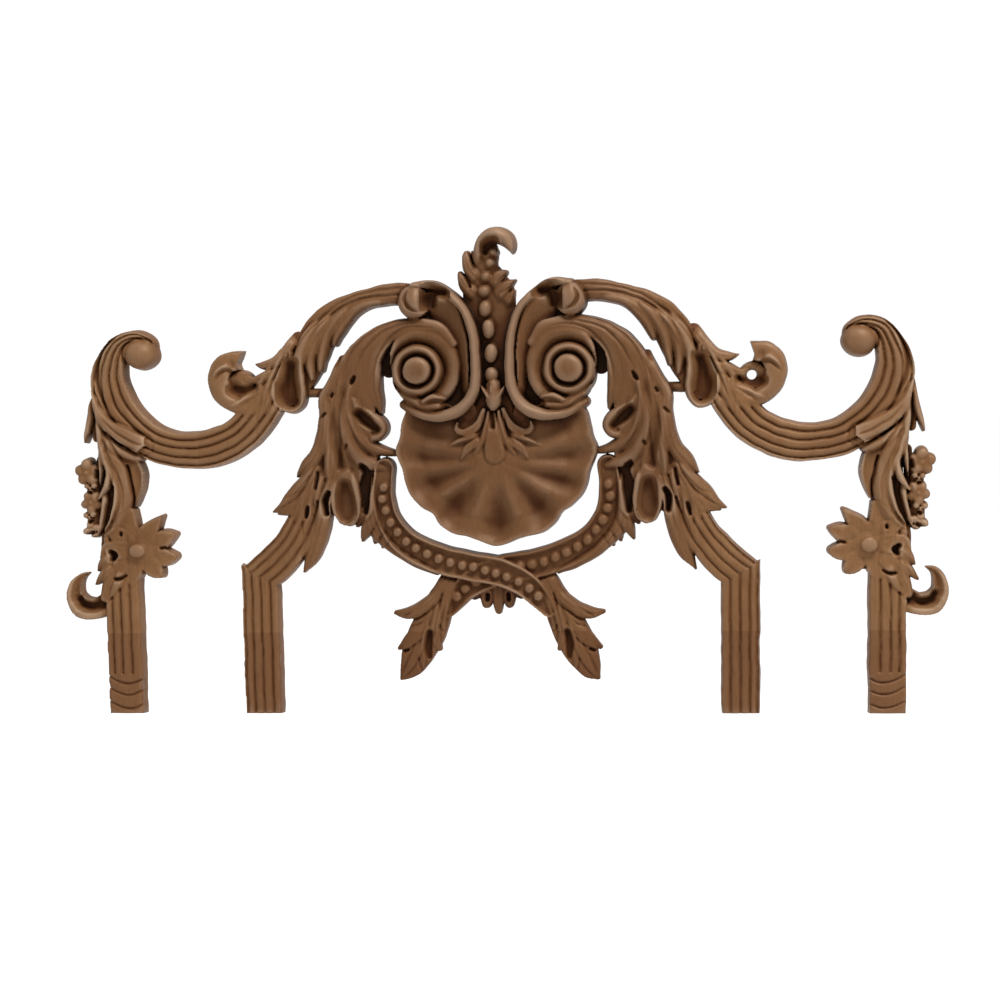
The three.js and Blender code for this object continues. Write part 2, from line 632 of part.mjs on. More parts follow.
// The hook that curls out from the side of the outer leg, with the leaf above it.
function hook() {
  const h = HOOK_THICKNESS;
  const curl = blade(
    [
      [402, -133, 13, h], [420, -138, 11, h], [437, -136, 11.5, h], [445.5, -125, 9.5, h], [445, -112.5, 7.5, h - 1],
      [440, -104, 4.5, h - 4], [431.5, -100, 1, h - 8],
    ],
    SCOOPED,
  );
  const leaves = [
    [[398, -72, 9, h + 3], [413, -91, 9, h + 2], [425, -108, 2, h - 7]],
    [[404, -92, 9, h + 2], [413, -108, 8, h], [418, -121, 4, h - 5]],
    [[398, -80, 7, h + 4], [403, -104, 6, h + 4], [405, -126, 1.5, h]],
  ];
  return joined([curl, ...leaves.map((leaf) => blade(leaf))]);
}

// The hollow shell, with flutes that fan out from its hub.
function shell() {
  const hubX = 1;
  const hubZ = 14;
  const outline = [
    [-90, 87, -1], [-79, 82.5, 0], [-68, 82.5, 1], [-58, 87.5, 0], [-47, 88, -1], [-39, 84, 0.2],
    [-32, 90, 1], [-18, 96, -1], [-6, 97, 1], [2, 102, -1], [7, 106, 0.6], [13, 102, 1], [26, 106, 0],
    [38, 106, 0], [56, 62, 0],
  ];
  const mirrorRay = ([angle, reach, flute]) => [-180 - angle, reach, flute];
  const rays = [...outline.slice(1).reverse().map(mirrorRay), ...outline];
  const front = [];
  const back = [];
  const rows = [[0, 1, 0], [0.25, 0.7, 0.3], [0.6, 0, 1], [0.9, 0.6, 1], [1, 1, 0.5]];
  for (const [share, lift, fluteShare] of rows) {
    const frontRow = [];
    const backRow = [];
    for (const [angle, reach, flute] of rays) {
      const radians = (angle * Math.PI) / 180;
      const planX = (hubX + Math.cos(radians) * reach * share) * SQUARE;
      const planZ = (hubZ + Math.sin(radians) * reach * share) * SQUARE;
      const height = SHELL_THICKNESS - SHELL_HOLLOW * (1 - lift) + SHELL_FLUTE * flute * fluteShare;
      frontRow.push(new THREE.Vector3(planX, -height, planZ));
      backRow.push(new THREE.Vector3(planX, PLANING_ALLOWANCE, planZ));
    }
    front.push(frontRow);
    back.push(backRow);
  }
  return solidBetween(front, back, true);
}

// The husk and the tuft of small leaves above the shell's hub.
function tuft() {
  const h = SHELL_THICKNESS + 1;
  const solids = [
    blade([[0, 72, 6, h], [0, 40, 9, h], [0, 10, 7, h - 6]]),
    blade([[0, 97, 3, h + 3], [0, 82, 9, h + 7], [0, 65, 7, h + 3]]),
  ];
  for (const side of [-1, 1]) {
    solids.push(blade([[side * 5, 68, 5, h], [side * 12, 48, 7, h - 1], [side * 15, 28, 1.5, h - 6]]));
    solids.push(blade([[side * 8, 66, 5, h - 1], [side * 22, 50, 7, h - 2], [side * 31, 38, 1.5, h - 6]]));
  }
  solids.push(mound(0, 40, 34, 34, [[0, h - 7], [1, h - 11]], 10));
  return joined(solids);
}

// The ground between the scrolls, and the beads that climb up it into the crest.
function beadColumn() {
  const ground = blade([[0, 60, 20, 12], [0, 130, 14, 12], [-1, 180, 26, 13]], CROWNED);
  const beads = [
    [0, 102, 8, 8], [-1, 123, 7, 11], [-3, 147, 6.5, 10.5], [-4, 168, 6.5, 9.5], [-6, 186, 7, 7],
    [-7, 200, 6.5, 6.5], [-5, 213, 5, 5.5], [-1, 224, 4, 4.5],
  ];
  const profile = [[0, 25], [0.7, 22.5], [1.05, 11]];
  return joined([ground, ...beads.map(([x, z, rx, rz]) => mound(x, z, rx, rz, profile, 6))]);
}

// The crest leaf, which leans to one side and curls over at its top.
function crest() {
  const h = CREST_THICKNESS;
  const body = blade(
    [[-3, 172, 26, h - 11], [-7, 196, 25, h - 10], [-12, 213, 16, h - 8], [-10, 225, 12, h - 7], [-8, 234, 7.5, h - 4]],
    SCOOPED,
  );
  const curl = blade(
    [
      [-14, 218, 6, h - 4], [-8.5, 232, 6.5, h + 1], [-1, 240.5, 8, h + 5], [9, 243.5, 9, h + 7],
      [19, 237, 7.5, h + 6], [22, 225, 2, h + 1],
    ],
    CROWNED,
  );
  const lobes = [
    [[-18, 180, 8, h - 7], [-29, 190, 7.5, h - 8], [-36, 201, 3, h - 13]],
    [[-18, 192, 8, h - 6], [-25, 206, 6, h - 8], [-28, 217, 2, h - 12]],
    [[-16, 206, 6, h - 5], [-20, 218, 5, h - 7], [-22, 226, 2, h - 11]],
    [[8, 180, 8, h - 7], [16, 190, 6, h - 8], [24, 198, 2, h - 13]],
    [[2, 192, 8, h - 6], [9, 201, 6, h - 8], [15, 207, 2.5, h - 12]],
  ];
  const hollow = mound(4, 228, 9, 11, [[0, h - 12], [1, h - 12]], 8);
  return joined([body, curl, hollow, ...lobes.map((lobe) => blade(lobe))]);
}

// The small pierced pendant under the crossing of the straps.
function pendant() {
  const h = STRAP_THICKNESS - 3;
  const solids = [blade([[0, -104, 7, h], [0, -132, 5, h], [0, -153, 2, h - 4]])];
  for (const side of [-1, 1]) {
    solids.push(blade([[side * 8, -106, 8, h - 1], [side * 10, -129, 8.5, h - 1], [side * 12, -143, 3, h - 5]]));
    solids.push(blade([[side * 16, -110, 8, h - 2], [side * 22, -128, 7, h - 4], [side * 29, -136, 2, h - 6]]));
  }
  const eyes = [-10, 10].map((x) => pit(x, -126, 2.6, 4.6, 2, h + 6));
  return joined(solids).subtract(joined(eyes));
}

// One half of the carving, to the right of the middle line.
function half(pierced) {
  return joined([
    innerLeg(), outerLeg(), arm(), upperArc(), curledLeaf(pierced), greatLeaf(), spiral(), scroll(),
    strapLeaf(), crossLeaf(), hangingLeaf(), flower(), berries(), hook(),
  ]);
}

const uncut = joined([
  half(true), mirrored(half(false)), strap(0), mirrored(strap(STRAP_OVERLAP_STEP)),
  shell(), tuft(), beadColumn(), crest(), pendant(),
]);

// The back is planed flat.
const board = FLEURON_WIDTH / SQUARE;
const planingBlock = band(
  [[-board, 0, board, 0], [board, 0, board, 0]],
  [[-1, 0, 0], [1, 0, 0]],
);
const whole = trimmed(uncut.subtract(planingBlock), FACET_TOLERANCE);

const wood = new THREE.MeshStandardMaterial({ color: 0x6b4d34, roughness: 0.72, metalness: 0 });
const carving = whole.getMesh();
const geometry = new THREE.BufferGeometry();
geometry.setAttribute("position", new THREE.BufferAttribute(new Float32Array(carving.vertProperties), 3));
geometry.setIndex(new THREE.BufferAttribute(new Uint32Array(carving.triVerts), 1));
geometry.computeVertexNormals();

const fleuron = new THREE.Group();
fleuron.name = "fleuron";
const carvedFleuron = new THREE.Mesh(geometry, wood);
carvedFleuron.name = "carved_fleuron";
fleuron.add(carvedFleuron);

export default fleuron;
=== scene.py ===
"""The carved fleuron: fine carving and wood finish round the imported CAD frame.

The carving is a relief on a flat back. Its heights are worked out on a fine sheet of points over the
board, the way a carver works: forms are laid on, then grooves, slots and holes are cut. The sheet then
becomes one closed mesh, which stands for the CAD node. Places on the board are in squares, 910 to the
fleuron's width, and heights are in millimetres. X runs right, Z up, and the carving faces -Y.
"""

import math

import bpy
import mathutils
import numpy as np
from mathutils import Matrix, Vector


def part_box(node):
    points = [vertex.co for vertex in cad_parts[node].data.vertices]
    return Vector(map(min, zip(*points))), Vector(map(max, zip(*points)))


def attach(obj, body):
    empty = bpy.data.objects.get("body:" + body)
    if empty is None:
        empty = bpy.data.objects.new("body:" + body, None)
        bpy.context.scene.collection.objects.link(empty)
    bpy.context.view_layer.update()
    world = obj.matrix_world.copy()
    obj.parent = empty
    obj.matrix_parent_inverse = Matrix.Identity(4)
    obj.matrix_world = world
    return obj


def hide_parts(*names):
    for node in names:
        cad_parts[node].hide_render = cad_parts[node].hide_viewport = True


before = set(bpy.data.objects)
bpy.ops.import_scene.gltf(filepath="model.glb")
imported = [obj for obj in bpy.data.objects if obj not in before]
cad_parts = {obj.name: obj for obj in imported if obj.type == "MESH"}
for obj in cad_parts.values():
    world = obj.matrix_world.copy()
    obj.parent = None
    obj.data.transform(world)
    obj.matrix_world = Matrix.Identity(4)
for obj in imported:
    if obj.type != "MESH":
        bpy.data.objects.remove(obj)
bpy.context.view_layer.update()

# Sizes taken from the frame
NODE = "carved_fleuron"
node_low, node_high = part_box(NODE)
WIDTH_IN_SQUARES = 910
SQUARE = (node_high.x - node_low.x) / WIDTH_IN_SQUARES
FOOT = node_low.z / SQUARE
CREST_TOP = 252
DEEPEST_RELIEF = 36
MILLIMETRE = (node_high.y - node_low.y) / DEEPEST_RELIEF

# How finely the relief is worked out
PITCH = 0.65
PATH_STEP = 2.5
MARGIN = 8
OVERLAP = 60
LEAST_SHARE_OF_A_SIDE = 0.03
MOST_TRIANGLES = 190000
SHARPEST_SMOOTHED_EDGE = 55

# How the forms rise from the board and meet
BARE = -10.0
STEEPNESS = 13.0
GROUND = 8.0
DITCH_WIDTH = 2.2
DOME_DITCH_WIDTH = 2.4
DITCH_LAP = 0.6
EMERGE_DEPTH = 9
LEFT_UNDER_GROOVES = 2.5
LEFT_UNDER_VALLEYS = 3
CREASE_WIDTH = 0.9
CREASE_CHANGE = 2.2
BACK_SKIN = 0.2

# Thicknesses of the forms in millimetres, as in the CAD
LEG = 19
ARM = 23
ARC = 23
LEAF = 27
SPIRAL = 36
SCROLL = 33
SHELL = 21
STRAP = 15
STRAP_STEP = 3.5
BEADS_UNDER_THE_CROSSING = range(12, 15)
CREST = 25
FLOWER = 23
HOOK = 19

# The studio, in metres and degrees
CAMERA_AIM = mathutils.Vector((0, 0, -0.018))
CAMERA_DISTANCE = 2.0548
CAMERA_TURN = 6.31
CAMERA_TILT = 3.28
CAMERA_ROLL = 1.04
CAMERA_LENS = 72
CAMERA_SHIFT_X = 0.003
CAMERA_SHIFT_Y = -0.0089
FLOOR_LEVEL = -0.7
FLOOR_SIZE = 60


# The sheet of points

class Sheet:
    """A rectangle of points over the board and the height of the carving at each of them."""

    def __init__(self, low_x, high_x, low_z, high_z, wobble_seed):
        xs = np.arange(low_x, high_x + PITCH, PITCH)
        zs = np.arange(low_z, high_z + PITCH, PITCH)
        self.low = (low_x, low_z)
        self.plain_x, self.plain_z = np.meshgrid(xs, zs)
        self.x = self.plain_x + hand_wobble(self.plain_x, self.plain_z, wobble_seed)
        self.z = self.plain_z + hand_wobble(self.plain_x, self.plain_z, wobble_seed + 1)
        self.height = np.full(self.x.shape, BARE)

    def window(self, low_x, high_x, low_z, high_z):
        """The rows and columns that cover a rectangle."""
        rows, columns = self.x.shape
        first_column = max(int((low_x - self.low[0]) / PITCH), 0)
        last_column = min(int((high_x - self.low[0]) / PITCH) + 2, columns)
        first_row = max(int((low_z - self.low[1]) / PITCH), 0)
        last_row = min(int((high_z - self.low[1]) / PITCH) + 2, rows)
        return slice(first_row, last_row), slice(first_column, last_column)


def hand_wobble(x, z, seed, reach=0.35, waves=9):
    """A small smooth wandering, as a hand-guided tool leaves it."""
    random = np.random.default_rng(seed)
    total = np.zeros_like(x)
    for _ in range(waves):
        length = random.uniform(14, 60)
        turn = random.uniform(0, 2 * math.pi)
        phase = random.uniform(0, 2 * math.pi)
        run = (x * math.cos(turn) + z * math.sin(turn)) * 2 * math.pi / length
        total += np.sin(run + phase)
    return total * reach / math.sqrt(waves)


def smoothed(stations, step=PATH_STEP):
    """A path that passes smoothly through its stations. Each station is a list of numbers."""
    points = np.array(stations, float)
    if len(points) == 1:
        points = np.vstack([points, points + [0.01, *[0] * (points.shape[1] - 1)]])
    path = []
    last = len(points) - 1
    for span in range(last):
        before = points[max(span - 1, 0)]
        start = points[span]
        end = points[span + 1]
        after = points[min(span + 2, last)]
        length = math.hypot(*(end - start)[:2])
        steps = max(int(math.ceil(length / step)), 1)
        for t in np.arange(steps) / steps:
            rise = end - start
            slope_start = (end - before) / 2
            slope_end = (after - start) / 2
            bend = 3 * rise - 2 * slope_start - slope_end
            path.append(start + t * (slope_start + t * (bend + t * (slope_start + slope_end - 2 * rise))))
    path.append(points[last])
    return np.array(path)


class Near:
    """How the sheet's points lie beside a path of [x, z, half width, more...]."""

    def __init__(self, sheet, stations, reach=2.0, straight=False):
        path = np.array(stations, float) if straight else smoothed(stations)
        half = np.maximum(path[:, 2], 0.05)
        extra = half.max() + reach
        self.window = sheet.window(
            path[:, 0].min() - extra,
            path[:, 0].max() + extra,
            path[:, 1].min() - extra,
            path[:, 1].max() + extra,
        )
        x = sheet.x[self.window]
        z = sheet.z[self.window]
        lengths = np.hypot(*np.diff(path[:, :2], axis=0).T)
        walked = np.concatenate([[0], np.cumsum(lengths)])
        self.length = walked[-1]
        self.edge = np.full(x.shape, -1e9)
        self.side = np.zeros(x.shape)
        self.half = np.ones(x.shape)
        self.along = np.zeros(x.shape)
        self.values = [np.zeros(x.shape) for _ in range(path.shape[1] - 3)]
        for i, length in enumerate(lengths):
            run_x, run_z = path[i + 1, :2] - path[i, :2]
            off_x = x - path[i, 0]
            off_z = z - path[i, 1]
            share = np.clip((off_x * run_x + off_z * run_z) / max(length**2, 1e-9), 0, 1)
            off_x = off_x - share * run_x
            off_z = off_z - share * run_z
            distance = np.hypot(off_x, off_z)
            half_here = half[i] + share * (half[i + 1] - half[i])
            edge = half_here - distance
            better = edge > self.edge
            self.edge = np.where(better, edge, self.edge)
            side = np.where(run_x * off_z - run_z * off_x >= 0, distance, -distance)
            self.side = np.where(better, side, self.side)
            self.half = np.where(better, half_here, self.half)
            self.along = np.where(better, walked[i] + share * length, self.along)
            for k, value in enumerate(self.values):
                here = path[i, 3 + k] + share * (path[i + 1, 3 + k] - path[i, 3 + k])
                self.values[k] = np.where(better, here, value)

    @property
    def place(self):
        """From -1 on the right of the path to 1 on its left."""
        return np.clip(self.side / self.half, -1, 1)


def put(sheet, window, height, where=None, blend=0.0):
    """Lays heights on the sheet: the higher one stays, with an optional soft valley between them."""
    old = sheet.height[window]
    new = np.maximum(old, height)
    if blend:
        new = new + np.maximum(blend - np.abs(old - height), 0) ** 2 / (4 * blend)
    if where is not None:
        new = np.where(where, new, old)
    sheet.height[window] = new


def walled(top, edge):
    """A form's top, and its wall down past the back where its edge is near."""
    return np.minimum(top, STEEPNESS * edge)


# Sections: the height across a form, from its place across, its half width and its full height

def round_back(place, half, top, fall=0.3):
    return top * (1 - fall * place**2)


def round_back_low(place, half, top):
    return round_back(place, half, top, 0.14)


def leaf_back(place, half, top):
    """Two rounded halves with a shallow crease between them."""
    halves = 1 - 0.26 * place**2
    crease = 1.5 * np.clip(1 - np.abs(place) * half / 1.5, 0, 1)
    return top * halves - crease


def cupped(place, half, top):
    """A deep scoop between two rims."""
    hollow = np.clip(1 - (place / 0.8) ** 2, 0, 1) ** 0.8
    return top * (1 - 0.04 * place**4) - hollow * half * 0.62


def cupped_inside(place, half, top):
    """A deep hollow that lies on the inner side of a curl."""
    hollow = np.clip(1 - ((place - 0.3) / 0.68) ** 2, 0, 1)
    return top * (1 - 0.05 * place**4) - hollow * half * 0.85


def channel(place, half, top):
    """A flat channel between two rounded rims."""
    rim = np.clip((np.abs(place) - 0.6) / 0.2, 0, 1)
    rim = rim * rim * (3 - 2 * rim)
    rounding = np.clip((np.abs(place) - 0.8) / 0.2, 0, 1) ** 2
    return top * (0.74 + 0.26 * rim - 0.14 * rounding)


def dished(place, half, top):
    """A shallow hollow between low rims."""
    hollow = np.clip(1 - (place / 0.9) ** 2, 0, 1)
    return top * (1 - 0.08 * place**4) - hollow * half * 0.16


def high_on_the_left(place, half, top):
    """A face that falls away to the right of its path."""
    share = np.clip((place + 1) / 2, 0, 1)
    edge = np.clip((1 - place) / 0.12, 0, 1)
    return top * (0.34 + 0.66 * share**0.75) - 1.5 * (1 - edge) ** 2


def reeds(lines, depth=1.7, width=1.7, arch=0.1, fall=2.2):
    """Rounded reeds that meet in narrow grooves at the given places across."""
    bounds = [-1, *lines, 1]

    def section(place, half, top):
        height = top * (1 - arch * place**2)
        for low, high in zip(bounds, bounds[1:]):
            middle = (low + high) / 2
            reach = (high - low) / 2
            inside = np.abs(place - middle) <= reach
            bulge = np.clip(np.abs(place - middle) / reach, 0, 1) ** 3
            height = height - np.where(inside, fall * bulge, 0)
        for line in lines:
            away = np.abs(place - line) * half
            height = height - depth * np.clip(1 - away / width, 0, 1)
        return height

    return section


# Laying on and cutting away

def lay(sheet, stations, section=leaf_back, where=None, blend=0.0, ditch=0.0, straight=False, emerge=0.0):
    """Lays a form along a path of [x, z, half width, height]. A ditch is cut round it first.

    With emerge, the form comes up out of what lies under its start over that many squares.
    """
    near = Near(sheet, stations, reach=4.0, straight=straight)
    sunk = np.zeros(near.edge.shape)
    if emerge:
        sunk = np.clip(1 - near.along / emerge, 0, 1) ** 2
    if ditch:
        outside = np.clip(1 + near.edge / DITCH_WIDTH, 0, 1)
        old = sheet.height[near.window]
        cut = np.maximum(old - ditch * outside * (1 - sunk), np.minimum(old, GROUND))
        sheet.height[near.window] = np.where(near.edge < DITCH_LAP, cut, old)
    top = section(near.place, near.half, near.values[0]) - EMERGE_DEPTH * sunk
    mask = None if where is None else where(sheet.x[near.window], sheet.z[near.window])
    put(sheet, near.window, walled(top, near.edge), mask, blend)


def groove(sheet, stations, power=0.8):
    """Cuts a groove along a path of [x, z, half width, depth], from the surface as it is."""
    near = Near(sheet, stations, reach=0.5)
    share = np.clip(near.edge / near.half, 0, 1) ** power
    old = sheet.height[near.window]
    cut = np.maximum(old - near.values[0] * share, np.minimum(old, LEFT_UNDER_GROOVES))
    sheet.height[near.window] = cut


def slot(sheet, stations, floor, slope=5.0):
    """Sinks a slot with steep sides along a path of [x, z, half width]. Its floor is above the back."""
    reach = 6.0
    near = Near(sheet, stations, reach=reach)
    level = floor + slope * np.maximum(-near.edge, 0)
    old = sheet.height[near.window]
    sunk = np.minimum(old, level)
    sheet.height[near.window] = np.where(old > BARE, sunk, old)


def hole(sheet, stations):
    """Cuts right through the board along a path of [x, z, half width]."""
    near = Near(sheet, stations, reach=3.0)
    old = sheet.height[near.window]
    sheet.height[near.window] = np.minimum(old, -STEEPNESS * near.edge)


def ridge(sheet, stations):
    """Raises a low rib along a path of [x, z, half width, rise], on what is there."""
    near = Near(sheet, stations, reach=0.5)
    share = np.clip(near.edge / near.half, 0, 1)
    old = sheet.height[near.window]
    raised = old + near.values[0] * share * (2 - share)
    sheet.height[near.window] = np.where(old > 1, raised, old)


def swell(sheet, stations):
    """Raises a soft rib along [x, z, half width, rise], or sinks a valley where the rise is below 0."""
    near = Near(sheet, stations, reach=0.5)
    share = np.clip(near.edge / near.half, 0, 1)
    soft = share * share * (3 - 2 * share)
    old = sheet.height[near.window]
    new = np.maximum(old + near.values[0] * soft, LEFT_UNDER_VALLEYS)
    sheet.height[near.window] = np.where(old > LEFT_UNDER_VALLEYS, new, old)


def grooves(sheet, lines):
    for line in lines:
        groove(sheet, line)


def slots(sheet, openings):
    for path, floor in openings:
        slot(sheet, path, floor)


def floor_under(sheet, stations, level=GROUND):
    """Lays flat ground along a path of [x, z, half width]."""
    near = Near(sheet, stations, reach=1.0)
    put(sheet, near.window, walled(np.full(near.edge.shape, float(level)), near.edge))


def dome(sheet, x, z, radius_x, radius_z, edge_height, crown, turn=0.0, power=0.5, ditch=0.0):
    """Lays a round or oval dome."""
    reach = max(radius_x, radius_z) + 4
    window = sheet.window(x - reach, x + reach, z - reach, z + reach)
    off_x = sheet.x[window] - x
    off_z = sheet.z[window] - z
    local_x = off_x * math.cos(turn) + off_z * math.sin(turn)
    local_z = -off_x * math.sin(turn) + off_z * math.cos(turn)
    share = np.hypot(local_x / radius_x, local_z / radius_z)
    edge = (1 - share) * min(radius_x, radius_z)
    if ditch:
        old = sheet.height[window]
        outside = np.clip(1 + edge / DOME_DITCH_WIDTH, 0, 1)
        cut = np.maximum(old - ditch * outside, np.minimum(old, GROUND))
        sheet.height[window] = np.where(edge < DITCH_LAP, cut, old)
    top = edge_height + (crown - edge_height) * np.clip(1 - share**2, 0, 1) ** power
    put(sheet, window, walled(top, edge))


def leaves(sheet, blades, section=leaf_back, ditch=2.0, emerge=16.0):
    """Lays leaf blades one over the other."""
    for blade in blades:
        lay(sheet, blade, section, ditch=ditch, emerge=emerge)


# The forms of one half, to the right of the middle line

def inner_leg(sheet):
    """The reeded sweep from the great leaf to the mitred shoulder, and the straight leg below it."""
    half = 20
    section = reeds([-0.54, -0.03, 0.44, 0.84])
    outer_corner = (267, -90)
    inner_corner = (228, -113)
    run_x = inner_corner[0] - outer_corner[0]
    run_z = inner_corner[1] - outer_corner[1]

    def above_mitre(x, z):
        return run_x * (z - outer_corner[1]) - run_z * (x - outer_corner[0]) <= 0

    def below_mitre(x, z):
        return ~above_mitre(x, z)

    sweep = [
        [187, 1, 13, LEG], [196, -35, 17, LEG], [210, -64.5, 18.5, LEG], [229, -87.5, half, LEG],
        [246.8, -102.8, half, LEG], [275, -127, half, LEG],
    ]
    straight = [
        [247.6, -60, half, LEG], [246.2, FOOT + 8, half, LEG], [246, FOOT - 12, half - 0.6, LEG],
    ]
    lay(sheet, sweep, section, where=above_mitre)
    lay(sheet, straight, section, where=below_mitre, straight=True)


def outer_leg(sheet):
    """The outer leg: reeds above, and a plain foot with three slanting wrap lines."""
    half = 19.5
    foot_top = FOOT + 43
    top = [[394, -60, half, LEG], [392.7, FOOT + 44, half, LEG]]
    foot = [[392.7, FOOT + 46, half, LEG], [392.5, FOOT - 12, half - 0.6, LEG]]
    lay(sheet, top, reeds([-0.38, 0.13, 0.59]), straight=True, where=lambda x, z: z > foot_top)
    lay(sheet, foot, round_back_low, straight=True, where=lambda x, z: z <= foot_top)
    for rise in (38, 26, 12):
        wrap = [
            [371, FOOT + rise + 1, 1.3, 3.4], [385, FOOT + rise - 5, 1.5, 3.6],
            [399, FOOT + rise - 3, 1.5, 3.4], [414, FOOT + rise + 5, 1.3, 2.4],
        ]
        groove(sheet, wrap)


def arm(sheet):
    """The C-shaped arm with its reeds, and the ball that it curls round."""
    path = [
        [214, 126, 9, ARM], [226, 97, 17, ARM], [242, 69, 20.5, ARM], [264, 44.5, 20, ARM],
        [292, 31.5, 20.5, ARM], [320, 28.5, 19.5, ARM], [348, 33.5, 19.5, ARM], [374, 49, 20.5, ARM],
        [395, 73, 22.5, ARM], [402.5, 102, 19.5, ARM], [398, 125, 15, ARM], [387.5, 142, 10, ARM],
        [371, 147, 7.5, ARM - 1], [358, 141, 6, ARM - 2], [354, 130, 4, ARM - 3],
    ]
    lay(sheet, path, reeds([-0.77, -0.35, 0.14, 0.55], depth=2.2, fall=2.6))
    groove(sheet, [
        [402, 72, 1.2, 2], [410, 88, 2.8, 6], [414, 103, 4, 8], [412, 121, 3.8, 8], [404.5, 136, 2.6, 6],
        [393, 146, 1.4, 3],
    ])
    dome(sheet, 367.5, 129, 18.3, 16.6, 9, ARM + 6, ditch=4, power=0.4)


def upper_arc(sheet):
    """The arc over the great leaf, which parts into tongues that hang down."""
    h = ARC
    lay(sheet, [
        [80, 184.5, 11.5, h - 1], [105, 185.5, 11.5, h - 1], [127, 182, 10.8, h - 2],
        [149, 174.5, 12, h - 3], [168, 162, 15.6, h - 5], [181.5, 143.5, 19, h - 6],
        [193, 118.5, 19, h - 7], [203, 92, 12.5, h - 9],
    ], round_back_low)
    for lobe in (
        [[100, 178.5, 4, h - 1], [122, 177, 5.5, h], [138, 171.5, 6.5, h], [151, 160, 7, h - 1],
         [159.5, 147, 6.5, h - 2], [163.5, 137, 4.5, h - 4]],
        [[140, 176, 4, h - 1], [157, 164, 6.5, h], [169, 150, 7.5, h], [176, 133, 7, h - 1],
         [178, 118, 5.5, h - 2], [179, 110, 4, h - 4]],
        [[162, 168, 4, h], [175, 156, 6.5, h + 1], [185, 139, 7.5, h + 1], [189, 121, 7, h],
         [188, 108, 5, h - 2], [187.5, 101, 3.6, h - 4]],
    ):
        lay(sheet, lobe, round_back, ditch=1.2, emerge=20)
    lay(sheet, [
        [174, 162, 6, h], [190, 143, 8, h + 2], [200, 120, 8, h + 3], [202, 104, 7, h + 2],
    ], round_back, ditch=1.4, emerge=20)
    lay(sheet, [[168, 86, 5, 13], [196, 86, 5, 13]], round_back)
    grooves(sheet, [
        [[94, 191, 1.4, 2.4], [122, 188.5, 1.7, 2.8], [149, 180.5, 1.7, 2.8], [173, 165, 1.7, 2.8],
         [195, 142, 1.4, 2.4], [206, 124, 0.6, 1]],
        [[94, 184.5, 1.4, 2.4], [122, 183.5, 1.6, 2.8], [142, 178.5, 1.7, 2.8], [162, 168, 1.7, 2.6],
         [180, 153, 1.6, 2.4], [190, 137, 0.8, 1]],
    ])


def arc_cup(sheet):
    """The hollow cup that the upper arc ends in."""
    h = ARC
    floor_under(sheet, [[213, 84, 12], [216, 98, 9]], 10)
    floor_under(sheet, [[204, 92, 8], [206, 80, 8]], 10)
    lay(sheet, [
        [201, 112, 7, h + 2], [200.5, 98, 7, h + 2], [198.5, 84, 5.5, h - 1], [201, 74, 4.6, h - 3],
        [208, 68.5, 4.2, h - 4], [217, 71, 4.4, h - 3], [225, 80, 4.4, h], [226.5, 90, 3.8, h + 1],
        [220, 107, 3.2, h + 2], [213, 124, 2, h + 2],
    ], round_back, ditch=1.6, emerge=10)
    slot(sheet, [[210, 114, 0.6], [212, 100, 3], [213, 88, 6], [211, 79, 4.4]], 7, 1.5)
    grooves(sheet, [
        [[214, 124, 0.7, 1.5], [224, 108, 1.4, 2.4], [232, 88, 1.4, 2.4], [239, 70, 0.8, 1.4]],
        [[212, 108, 0.6, 1.4], [215, 96, 1.2, 2], [215, 84, 0.7, 1.4]],
    ])


def curled_leaf(sheet, pierced):
    """The leaf that leaves the arm and curls round a hole."""
    h = ARM
    floor_under(sheet, [[262, 97, 14]], 16)

    def before_its_end(x, z):
        return (x > 264 - 0.38 * np.abs(z - 117)) | (z < 105)

    lay(sheet, [
        [238, 72, 9, h - 1], [262, 73.5, 9.5, h], [279, 84, 11, h + 2], [285, 101, 12, h + 2],
        [279, 116, 12, h + 1], [268, 120, 11, h], [255, 121, 10, h],
    ], round_back_low, where=before_its_end)
    leaves(sheet, [
        [[222, 108, 8, h], [236, 104, 6.5, h - 1], [248, 99.5, 5, h - 4], [256, 101, 3.5, h - 7]],
        [[203, 143, 7, h - 1], [221.5, 121.5, 6.5, h], [237, 115.5, 5.2, h - 3], [247.5, 117, 1, h - 8]],
    ], ditch=1, emerge=10)
    lay(sheet, [[222, 92, 9, h], [240, 85, 9, h], [256, 78, 9, h - 1], [268, 75, 8, h - 2]], round_back_low)
    slot(sheet, [[249, 93, 0.6], [255, 91, 1.4], [262, 89.5, 2.4], [268, 91, 1.6]], 11, 1.6)
    swell(sheet, [[262, 90, 7, -2], [269, 95, 7, -3], [272, 90, 7, -3], [264, 83, 6, -2]])
    swell(sheet, [[272, 108, 5, -2], [270, 118, 5, -2]])
    swell(sheet, [[240, 94, 2, 1], [254, 85.5, 3, 2.4], [264, 78, 3, 2], [272, 74, 2, 1]])
    swell(sheet, [[243, 86, 2, -1.5], [254, 79, 2.6, -2.6], [265, 71.5, 2, -1.5]])
    swell(sheet, [[268, 111, 2.5, 1.5], [276, 115, 3, 3], [284, 111, 3, 3], [289, 105, 2, 1]])
    swell(sheet, [[267, 107, 2, -1.5], [275, 110.5, 2.2, -3], [283, 107, 2.2, -3], [288, 101, 2, -1.5]])
    lay(sheet, [[226, 106, 3.5, h - 1], [231, 92, 5.5, h + 1], [237, 76, 4.6, h + 1],
                [242, 59, 0.8, h - 2]], leaf_back, ditch=1, emerge=10)
    if pierced:
        hole(sheet, [[261, 96.5, 5]])


